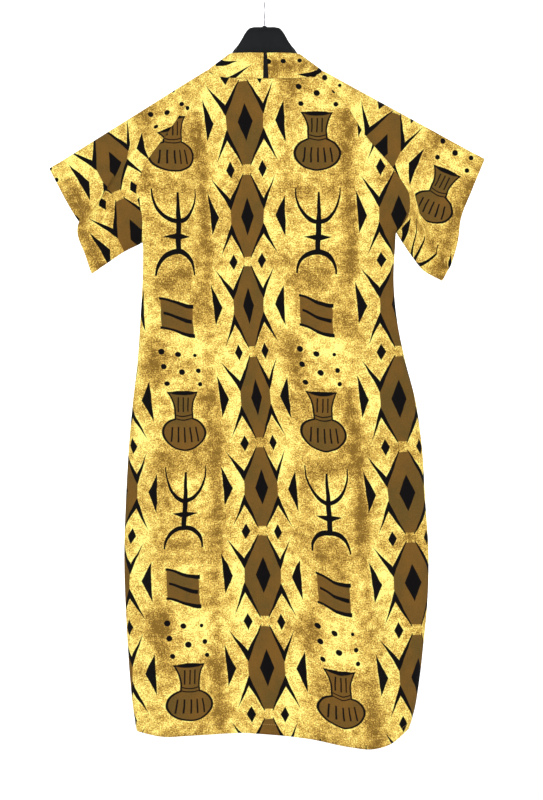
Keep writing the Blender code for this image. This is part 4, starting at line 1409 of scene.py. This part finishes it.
def seam_shade_material(settings):
    """Painted seam shadow at the back of the neckband: a near-black colour, paler in places."""
    material = bpy.data.materials.get("tunic_seam_shade")
    if material:
        return material
    material, tree, shader = new_material("tunic_seam_shade", Specular_IOR_Level=0.15)
    # Painted seam shadow: near-black, made paler in places by a noise
    patchiness = noise_signal(tree, object_place(tree), 500.0, 3.0)
    grey = tuple(2.2 * value for value in settings.colours.ink)
    colour = blended(tree, patchiness.share(0.4, 0.7), tuple(settings.colours.ink), grey)
    surfaced(tree, shader, colour, patchiness * 0.2 + 0.7)
    return material


def plastic_material(settings):
    """Satin black plastic with a fine moulded grain and faint rub marks."""
    material, tree, shader = new_material("tunic_plastic", Specular_IOR_Level=0.12)
    place = object_place(tree)
    grain = noise_signal(tree, place, 1600.0, 2.0)
    rubbed = noise_signal(tree, place, 38.0, 5.0, 0.6)
    lighter = tuple(min(1.0, 1.7 * value) for value in settings.colours.plastic)
    colour = blended(tree, rubbed.share(0.45, 0.75), tuple(settings.colours.plastic), lighter)
    surfaced(tree, shader, colour, rubbed * 0.16 + 0.42)
    bumped(tree, shader, grain.socket, 0.25, 0.00008)
    return material


def wire_material(settings):
    """Plated wire with a slight, uneven dulling."""
    material, tree, shader = new_material("tunic_wire", Metallic=1.0)
    drawn = noise_signal(tree, object_place(tree), 320.0, 3.0)
    dull = tuple(0.78 * value for value in settings.colours.wire)
    colour = blended(tree, drawn, dull, tuple(settings.colours.wire))
    surfaced(tree, shader, colour, drawn * 0.2 + 0.12)
    return material


def paper_material():
    """Pale matt backdrop, very slightly uneven."""
    material, tree, shader = new_material("stage_paper", Specular_IOR_Level=0.1, Roughness=0.95)
    fibres = noise_signal(tree, object_place(tree), 3.0, 2.0)
    colour = blended(tree, fibres, srgb(248, 248, 248), srgb(252, 252, 252))
    tree.links.new(colour, shader.inputs["Base Color"])
    return material


def cotton_pair(settings):
    """The printed face and the wrong side, made once and shared by every panel."""
    face = bpy.data.materials.get("tunic_cotton")
    if face is None:
        printed = print_group(settings.colours)
        weave = weave_group()
        face = cotton("tunic_cotton", False, printed, weave, settings)
        cotton("tunic_cotton_inside", True, printed, weave, settings)
    return [face, bpy.data.materials["tunic_cotton_inside"]]


# Panels


def body_panel(layer, settings):
    """The back or front: from the hem up to the raglan seams and the neck seam."""
    flat = body_panel_flat(layer)
    outer = on_layer(layer, flat, settings.cloth.crease)
    outer[: SIDE_ROWS + 1, (0, -1), 1] = 0.0
    normals = grid_normals(outer, ring=False) * -FACING[layer]
    shared = layer_normals(layer, flat)
    for column, side in ((0, "left"), (-1, "right")):
        normals[SIDE_ROWS:, column] = shared[SIDE_ROWS:, column]
        normals[:SIDE_ROWS, column] = (OUTWARD[side], 0.0, 0.0)
        normals[SIDE_ROWS, column] = ARMPIT_NORMALS[side]
    normals[-1] = shared[-1]
    from_hem = from_edge(outer, 0, last=False)
    seams = [from_edge(outer, 0, last=True)]
    seams += [from_edge(outer, 1, last) for last in (False, True)]
    outer = hem_turned(outer, normals, from_hem, BODY_HEM_WIDTH)
    outer = sunk(outer, normals, seams)
    if layer == "back":
        places = print_on_back(from_behind(outer)) + round_the_edges(flat)
    else:
        rounded = round_the_edges(flat) * np.array([-1.0, 1.0])
        places = laid(flat, LAYS["front"], mirrored=True) + rounded
    panel = cloth_wall("tunic_" + layer, outer, normals, places, settings)
    return panel, line_at(outer, normals, from_hem, BODY_HEM_WIDTH - HEM_STITCH_IN)


def sleeve(side, settings):
    """One sleeve: a tube from the raglan seam to its open hem, with a fold that leans over."""
    flat, back_columns = sleeve_flat(side)
    rows, columns = flat.shape[:2]
    on_back = np.arange(columns) < back_columns
    outer = on_either(flat, on_back, settings.cloth.crease)
    outer[:, 0, 1] = 0.0
    outer[:, back_columns - 1, 1] = 0.0
    lay = LAYS["sleeve_" + side]
    unrolled = np.where(on_back[None, :, None], from_behind(outer), over_the_ridge(flat, side))
    places = laid(unrolled, lay)
    out = np.linspace(0.0, 1.0, rows)[:, None]
    column = np.arange(columns)
    down = np.where(on_back, column, columns - column) / (back_columns - 1)
    hem = SLEEVE_HEMS[side]
    fall = np.array([hem[2].x - hem[0].x, 0.0, hem[2].z - hem[0].z])
    fall = fall / np.linalg.norm(fall)
    for fold in SLEEVE_FOLDS[side]:
        mine = on_back if fold.side == "back" else ~on_back
        place = fold.down + SLEEVE_FOLD_DRIFT * (1.0 - out)
        shape = np.exp(-(((down[None, :] - place) / fold.half_width) ** 2)) * mine
        started = smooth_step((out - fold.begins) * 1.3 / (1.12 - fold.begins))
        shape = shape * started
        outer[..., 1] += FACING[fold.side] * fold.height * shape
        outer += fold.lean * shape[..., None] * fall
        # Above its crest the back is printed as seen; below it the fold has swallowed some
        if fold.side == "back":
            past_crest = down[None, :] - place - 0.3 * fold.half_width
            above = 1.0 - smooth_step(past_crest / (0.6 * fold.half_width))
            above = above * on_back[None, :]
            places += (laid(from_behind(outer), lay) - places) * above[..., None]
        folded = smooth_step((out - fold.begins + 0.12) * 4.0)
        width = GATHER_WIDTH + (1.2 * fold.half_width - GATHER_WIDTH) * folded
        start = place - 0.5 * GATHER_WIDTH * (1.0 - folded)
        below = smooth_step((down[None, :] - start) / width) * mine
        below = below * (1.0 + (fold.hem_take - 1.0) * smooth_step(out / 0.6))
        places[..., 0] += fold.take_u * below
        places[..., 1] -= FACING[fold.side] * fold.take_v * below
    normals = grid_normals(outer, ring=True) * OUTWARD[side]
    share_first_row(normals, outer, flat, on_back)
    normals[0, back_columns - 1] = ARMPIT_NORMALS[side]
    from_hem = from_edge(outer, 0, last=True)
    outer = hem_turned(outer, normals, from_hem, SLEEVE_HEM_WIDTH)
    outer = sunk(outer, normals, [from_edge(outer, 0, last=False)])
    piece = cloth_wall("tunic_sleeve_" + side, outer, normals, places, settings, ring=True)
    ringed = [np.concatenate([grid, grid[:, :1]], axis=1) for grid in (outer, normals)]
    closed_run = np.concatenate([from_hem, from_hem[:, :1]], axis=1)
    return piece, line_at(*ringed, closed_run, SLEEVE_HEM_WIDTH - HEM_STITCH_IN)


def neckband(side, settings):
    """One half of the band: it stands behind the neck and lies flat along the V in front."""
    turns = band_turns()
    seam = neck_line(NECK_SEAM, side, turns)
    edge = neck_line(BAND_EDGE, side, turns)
    seam[(0, -1), 0] = edge[(0, -1), 0] = 0.0
    share = np.linspace(0.0, 1.0, BAND_WIDTH_CELLS + 1)[:, None, None]
    flat = seam + (edge - seam) * share
    on_back = turns <= np.pi / 2
    outer = on_either(flat, on_back)
    ridge = int(np.argmin(np.abs(turns - np.pi / 2)))
    outer[:, ridge, 1] = 0.0
    normals = grid_normals(outer, ring=False) * OUTWARD[side]
    share_first_row(normals, outer, flat, on_back)
    normals[:, (0, -1), 0] = 0.0
    normals /= np.linalg.norm(normals, axis=-1, keepdims=True)
    up = from_edge(outer, 0, last=False)
    run = from_edge(outer, 1, last=False)
    places = laid(np.stack([OUTWARD[side] * run, up], axis=-1), LAYS["neckband_" + side])
    outer = sunk(outer, normals, [up, run])
    name = "tunic_neckband_" + side
    # The band's first columns at the back are painted dark as the shadow of the seam
    piece = cloth_wall(name, outer, normals, places, settings, seam_shaded=BACK_SEAM_SHADE_CELLS[side])
    free = from_edge(outer, 0, last=True)
    return piece, line_at(outer, normals, free, BAND_STITCH_IN)


def hanger_ring(row, side):
    """Ring of points round the hanger at one station."""
    turn = np.linspace(0.0, 2.0 * np.pi, HANGER_RING, endpoint=False)
    power = 2.0 / HANGER_CORNER
    wide = np.sign(np.cos(turn)) * np.abs(np.cos(turn)) ** power
    tall = np.sign(np.sin(turn)) * np.abs(np.sin(turn)) ** power
    middle, half = (row.top + row.bottom) / 2.0, (row.top - row.bottom) / 2.0
    drop = HANGER_LEFT_DROP * (row.x / HANGER[-1].x) ** 2 if side < 0 else 0.0
    x = np.full(HANGER_RING, side * row.x)
    y = row.half_depth * wide
    z = middle - drop + half * tall
    if row.x > HANGER_UNDER_CLOTH:
        for layer, facing in FACING.items():
            room = swell(layer, x, z + HANGER_CLEAR_ABOVE) - HANGER_CLEAR_BESIDE
            y = facing * np.minimum(facing * y, np.maximum(room, 0.4))
    return np.stack([x, y, z], axis=-1)


def hanger_stations():
    """Rows of the hanger at a finer step, with a rounded end past the last one."""
    places = np.array([row.x for row in HANGER], float)
    steps = np.arange((len(HANGER) - 1) * HANGER_STEPS + 1) / HANGER_STEPS
    fine = np.interp(steps, np.arange(len(HANGER)), places)
    columns = [curve_through(places, [getattr(row, name) for row in HANGER], fine)
               for name in ("top", "bottom", "half_depth")]
    rows = [HangerRow(*values) for values in zip(fine, *columns)]
    last = rows[-1]
    middle = (last.top + last.bottom) / 2.0
    for turn in np.radians((30, 55, 75)):
        shrink = 1.0 - (1.0 - np.cos(turn)) * 0.75
        rows.append(HangerRow(
            last.x + HANGER_END_ROUND * np.sin(turn) * 0.5,
            middle + (last.top - middle) * shrink,
            middle + (last.bottom - middle) * shrink,
            last.half_depth * shrink,
        ))
    return rows


def tube(rings):
    """Points and faces of a closed tube through equal rings of points."""
    return np.concatenate(rings), tube_faces(len(rings), len(rings[0]), 0)


def hanger_body(settings):
    """Broad hanger: a tall neck and two sloping arms, and the collar for the hook."""
    rows = hanger_stations()
    rings = [hanger_ring(row, -1) for row in rows[::-1]]
    rings += [hanger_ring(row, 1) for row in rows[1:]]
    turn = np.linspace(0.0, 2.0 * np.pi, 32, endpoint=False)
    bore = HOOK_WIRE_RADIUS + 0.2
    profile = ((SEAT_RADIUS + 0.9, -2.0), (SEAT_RADIUS + 0.9, 0.4), (SEAT_RADIUS + 0.5, 1.0),
               (SEAT_RADIUS, SEAT_HEIGHT), (HOOK_WIRE_RADIUS + 0.6, SEAT_HEIGHT),
               (bore, 0.9), (bore, -2.0))
    collar = []
    for radius, height in profile:
        level = np.full(turn.shape, HANGER[0].top + height)
        collar.append(np.stack([radius * np.cos(turn), radius * np.sin(turn), level], axis=-1))
    forms = [tube(rings), tube(collar)]
    piece = joined_piece("hanger_body", forms, plastic_material(settings))
    piece.data.set_sharp_from_angle(angle=np.radians(40))
    return piece


def hook_route():
    """The wire's centreline in the Y, Z plane: a straight stem, then a wide bend."""
    radius = HOOK_INNER_RADIUS + HOOK_WIRE_RADIUS
    centre_z = HOOK_WIRE_RADIUS - radius
    turns = np.radians(np.linspace(-50.0, 180.0, 72))
    bow = np.stack([radius * np.cos(turns), centre_z + radius * np.sin(turns)], axis=-1)
    stem_foot = np.array([0.0, HOOK_FOOT_Z])
    stem_top = np.array([0.0, HOOK_STRAIGHT_TOP_Z])
    share = np.linspace(0.0, 1.0, 24)[1:-1, None]
    tangent = np.array([-np.sin(turns[0]), np.cos(turns[0])])
    bend = (
        stem_top * (1 - share) ** 3
        + (stem_top + np.array([0.0, HOOK_BLEND])) * 3 * share * (1 - share) ** 2
        + (bow[0] - tangent * HOOK_BLEND) * 3 * share**2 * (1 - share)
        + bow[0] * share**3
    )
    tip = bow[-1] + np.array([0.0, -HOOK_BLEND])
    return np.concatenate([[stem_foot, stem_top], bend, bow, [tip]])


def hook(settings):
    """Wire hook with a rounded tip."""
    route = hook_route()
    tangents = np.gradient(route, axis=0)
    tangents /= np.linalg.norm(tangents, axis=1, keepdims=True)
    turn = np.linspace(0.0, 2.0 * np.pi, 20, endpoint=False)
    rings = []
    stations = [(place, tangent, 1.0) for place, tangent in zip(route, tangents)]
    for angle in np.radians((25, 50, 70, 85)):
        ahead = route[-1] + tangents[-1] * HOOK_WIRE_RADIUS * np.sin(angle)
        stations.append((ahead, tangents[-1], np.cos(angle)))
    for (y, z), (ahead_y, ahead_z), fat in stations:
        side = np.array([0.0, -ahead_z, ahead_y])
        across = np.array([1.0, 0.0, 0.0])
        ring = np.outer(np.cos(turn), across) + np.outer(np.sin(turn), side)
        rings.append(np.array([0.0, y, z]) + fat * HOOK_WIRE_RADIUS * ring)
    return joined_piece("hanger_hook", [tube(rings)], wire_material(settings))


# Operators

# What each piece of cloth shows of its sheet, in metres and square metres
SheetRow = namedtuple("SheetRow", "width length area")
SEAM_LINES = {}


def declare(piece, nodes):
    """Rides the piece on the body, in place of its solids."""
    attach(piece, BODY)
    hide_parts(*nodes)


def declare_cloth(made, name, nodes):
    """Declares a piece of cloth, and keeps the line of its stitches."""
    piece, SEAM_LINES[name] = made
    declare(piece, nodes)


class TUNIC_OT_body(bpy.types.Operator):
    """Make the back and the front"""

    bl_idname = "tunic.body"
    bl_label = "Back and front"

    def execute(self, context):
        for layer in FACING:
            lengths = [layer + "_" + name for name in ("skirt", "waist", "yoke")]
            declare_cloth(body_panel(layer, context.scene.tunic), layer, lengths)
        return {"FINISHED"}


class TUNIC_OT_sleeves(bpy.types.Operator):
    """Make the two raglan sleeves"""

    bl_idname = "tunic.sleeves"
    bl_label = "Sleeves"

    def execute(self, context):
        for side in OUTWARD:
            node = "sleeve_" + side
            declare_cloth(sleeve(side, context.scene.tunic), node, [node])
        return {"FINISHED"}


class TUNIC_OT_neckband(bpy.types.Operator):
    """Make the two halves of the neckband"""

    bl_idname = "tunic.neckband"
    bl_label = "Neckband"

    def execute(self, context):
        for side in OUTWARD:
            node = "neckband_" + side
            declare_cloth(neckband(side, context.scene.tunic), node, [node])
        return {"FINISHED"}


class TUNIC_OT_stitches(bpy.types.Operator):
    """Sew the hems of the body and the sleeves, and the edge of the neckband"""

    bl_idname = "tunic.stitches"
    bl_label = "Stitches"

    def execute(self, context):
        settings = context.scene.tunic
        material = thread_material(settings)
        seams = (
            ("stitches_hem", ("back", "front")),
            ("stitches_sleeves", ("sleeve_left", "sleeve_right")),
            ("stitches_neckband", ("neckband_left", "neckband_right")),
        )
        for name, nodes in seams:
            if not all(node in SEAM_LINES for node in nodes):
                raise RuntimeError("make the panels before their stitches")
            forms = [stitches_along(*SEAM_LINES[node], settings.cloth) for node in nodes]
            piece = joined_piece(name, forms, material)
            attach(piece, BODY)
        return {"FINISHED"}


class TUNIC_OT_hanger(bpy.types.Operator):
    """Make the hanger and its hook"""

    bl_idname = "tunic.hanger"
    bl_label = "Hanger"

    def execute(self, context):
        settings = context.scene.tunic
        declare(hanger_body(settings), ["hanger"])
        declare(hook(settings), ["hook"])
        return {"FINISHED"}


FLOOR_Z = -1.62
WALL_Y = 7.5
SWEEP_RADIUS = 1.6
STAGE_HALF_WIDTH = 9.0
STAGE_FRONT_Y = -7.0
LampRow = namedtuple("LampRow", "name x y z size share aim_y")
LAMPS = listed(
    LampRow,
    ("key", -1.6, -3.4, 0.9, 2.4, 1.0, 0.0),
    ("fill", 2.2, -3.0, -0.2, 2.6, 0.55, 0.0),
    ("back_light", 0.0, 1.6, 1.9, 2.0, 0.35, 0.0),
    ("backdrop_left", -3.2, 4.2, 2.6, 3.0, 4.0, 9.0),
    ("backdrop_right", 3.2, 4.2, 2.6, 3.0, 4.0, 9.0),
)


def stage_sweep():
    """Pale paper: a floor that curves up into a wall behind the garment."""
    turns = np.linspace(0.0, np.pi / 2, 16)
    profile = [(STAGE_FRONT_Y, FLOOR_Z)]
    profile += [(WALL_Y - SWEEP_RADIUS + SWEEP_RADIUS * np.sin(turn),
                 FLOOR_Z + SWEEP_RADIUS * (1.0 - np.cos(turn))) for turn in turns]
    profile += [(WALL_Y, FLOOR_Z + 5.0)]
    points = np.array([(x, y, z) for y, z in profile
                       for x in (-STAGE_HALF_WIDTH, STAGE_HALF_WIDTH)]) / MM
    faces = [(2 * i, 2 * i + 1, 2 * i + 3, 2 * i + 2) for i in range(len(profile) - 1)]
    return new_mesh_object("stage_sweep", points, faces, [paper_material()])


class TUNIC_OT_stage(bpy.types.Operator):
    """Set the paper backdrop, the soft lights and the camera"""

    bl_idname = "tunic.stage"
    bl_label = "Stage"

    def execute(self, context):
        scene = context.scene
        room = scene.tunic.stage
        stage_sweep()
        world = bpy.data.worlds.new("studio")
        world.use_nodes = True
        sky = world.node_tree.nodes["Background"]
        sky.inputs["Color"].default_value = (1.0, 1.0, 1.0, 1.0)
        sky.inputs["Strength"].default_value = room.sky
        scene.world = world
        for row in LAMPS:
            data = bpy.data.lights.new(row.name, "AREA")
            data.shape = "SQUARE"
            data.size = row.size
            data.energy = room.key * row.share
            lamp = bpy.data.objects.new(row.name, data)
            lamp.location = (row.x, row.y, row.z)
            away = lamp.location - Vector((AIM_X, row.aim_y, AIM_Z))
            lamp.rotation_euler = away.to_track_quat("Z", "Y").to_euler()
            scene.collection.objects.link(lamp)
        lens = bpy.data.cameras.new("camera")
        lens.lens = room.lens
        lens.sensor_width = 36.0
        camera = bpy.data.objects.new("camera", lens)
        camera.location = (AIM_X, -room.distance, AIM_Z)
        camera.rotation_euler = (np.pi / 2, 0.0, 0.0)
        scene.collection.objects.link(camera)
        scene.camera = camera
        scene.view_settings.view_transform = "Standard"
        return {"FINISHED"}


class TunicSettings(bpy.types.PropertyGroup):
    """All that a user would change."""

    cloth: PointerProperty(name="Cloth", description="Sizes of the cloth", type=TunicCloth)
    colours: PointerProperty(name="Colours", description="Colours", type=TunicColours)
    stage: PointerProperty(name="Stage", description="Room and light", type=TunicStage)


OPERATORS = (
    TUNIC_OT_body,
    TUNIC_OT_sleeves,
    TUNIC_OT_neckband,
    TUNIC_OT_stitches,
    TUNIC_OT_hanger,
    TUNIC_OT_stage,
)


class TUNIC_PT_panel(bpy.types.Panel):
    """Lists the pieces of the tunic and their settings"""

    bl_idname = "TUNIC_PT_panel"
    bl_label = "Tunic"
    bl_space_type = "VIEW_3D"
    bl_region_type = "UI"
    bl_category = "Tunic"

    def draw(self, context):
        settings = context.scene.tunic
        for group in (settings.cloth, settings.colours, settings.stage):
            box = self.layout.box()
            for name in group.__annotations__:
                box.prop(group, name)
        for operator in OPERATORS:
            self.layout.operator(operator.bl_idname)


CLASSES = (TunicCloth, TunicColours, TunicStage, TunicSettings, *OPERATORS, TUNIC_PT_panel)


def register():
    """Makes the settings, the operators and the sidebar panel known."""
    for item in CLASSES:
        bpy.utils.register_class(item)
    bpy.types.Scene.tunic = PointerProperty(type=TunicSettings)


def unregister():
    """Takes them away again."""
    del bpy.types.Scene.tunic
    for item in reversed(CLASSES):
        bpy.utils.unregister_class(item)


def main():
    """Builds every piece."""
    register()
    bpy.ops.tunic.body()
    bpy.ops.tunic.sleeves()
    bpy.ops.tunic.neckband()
    bpy.ops.tunic.stitches()
    bpy.ops.tunic.hanger()
    bpy.ops.tunic.stage()


if __name__ == "__main__":
    main()
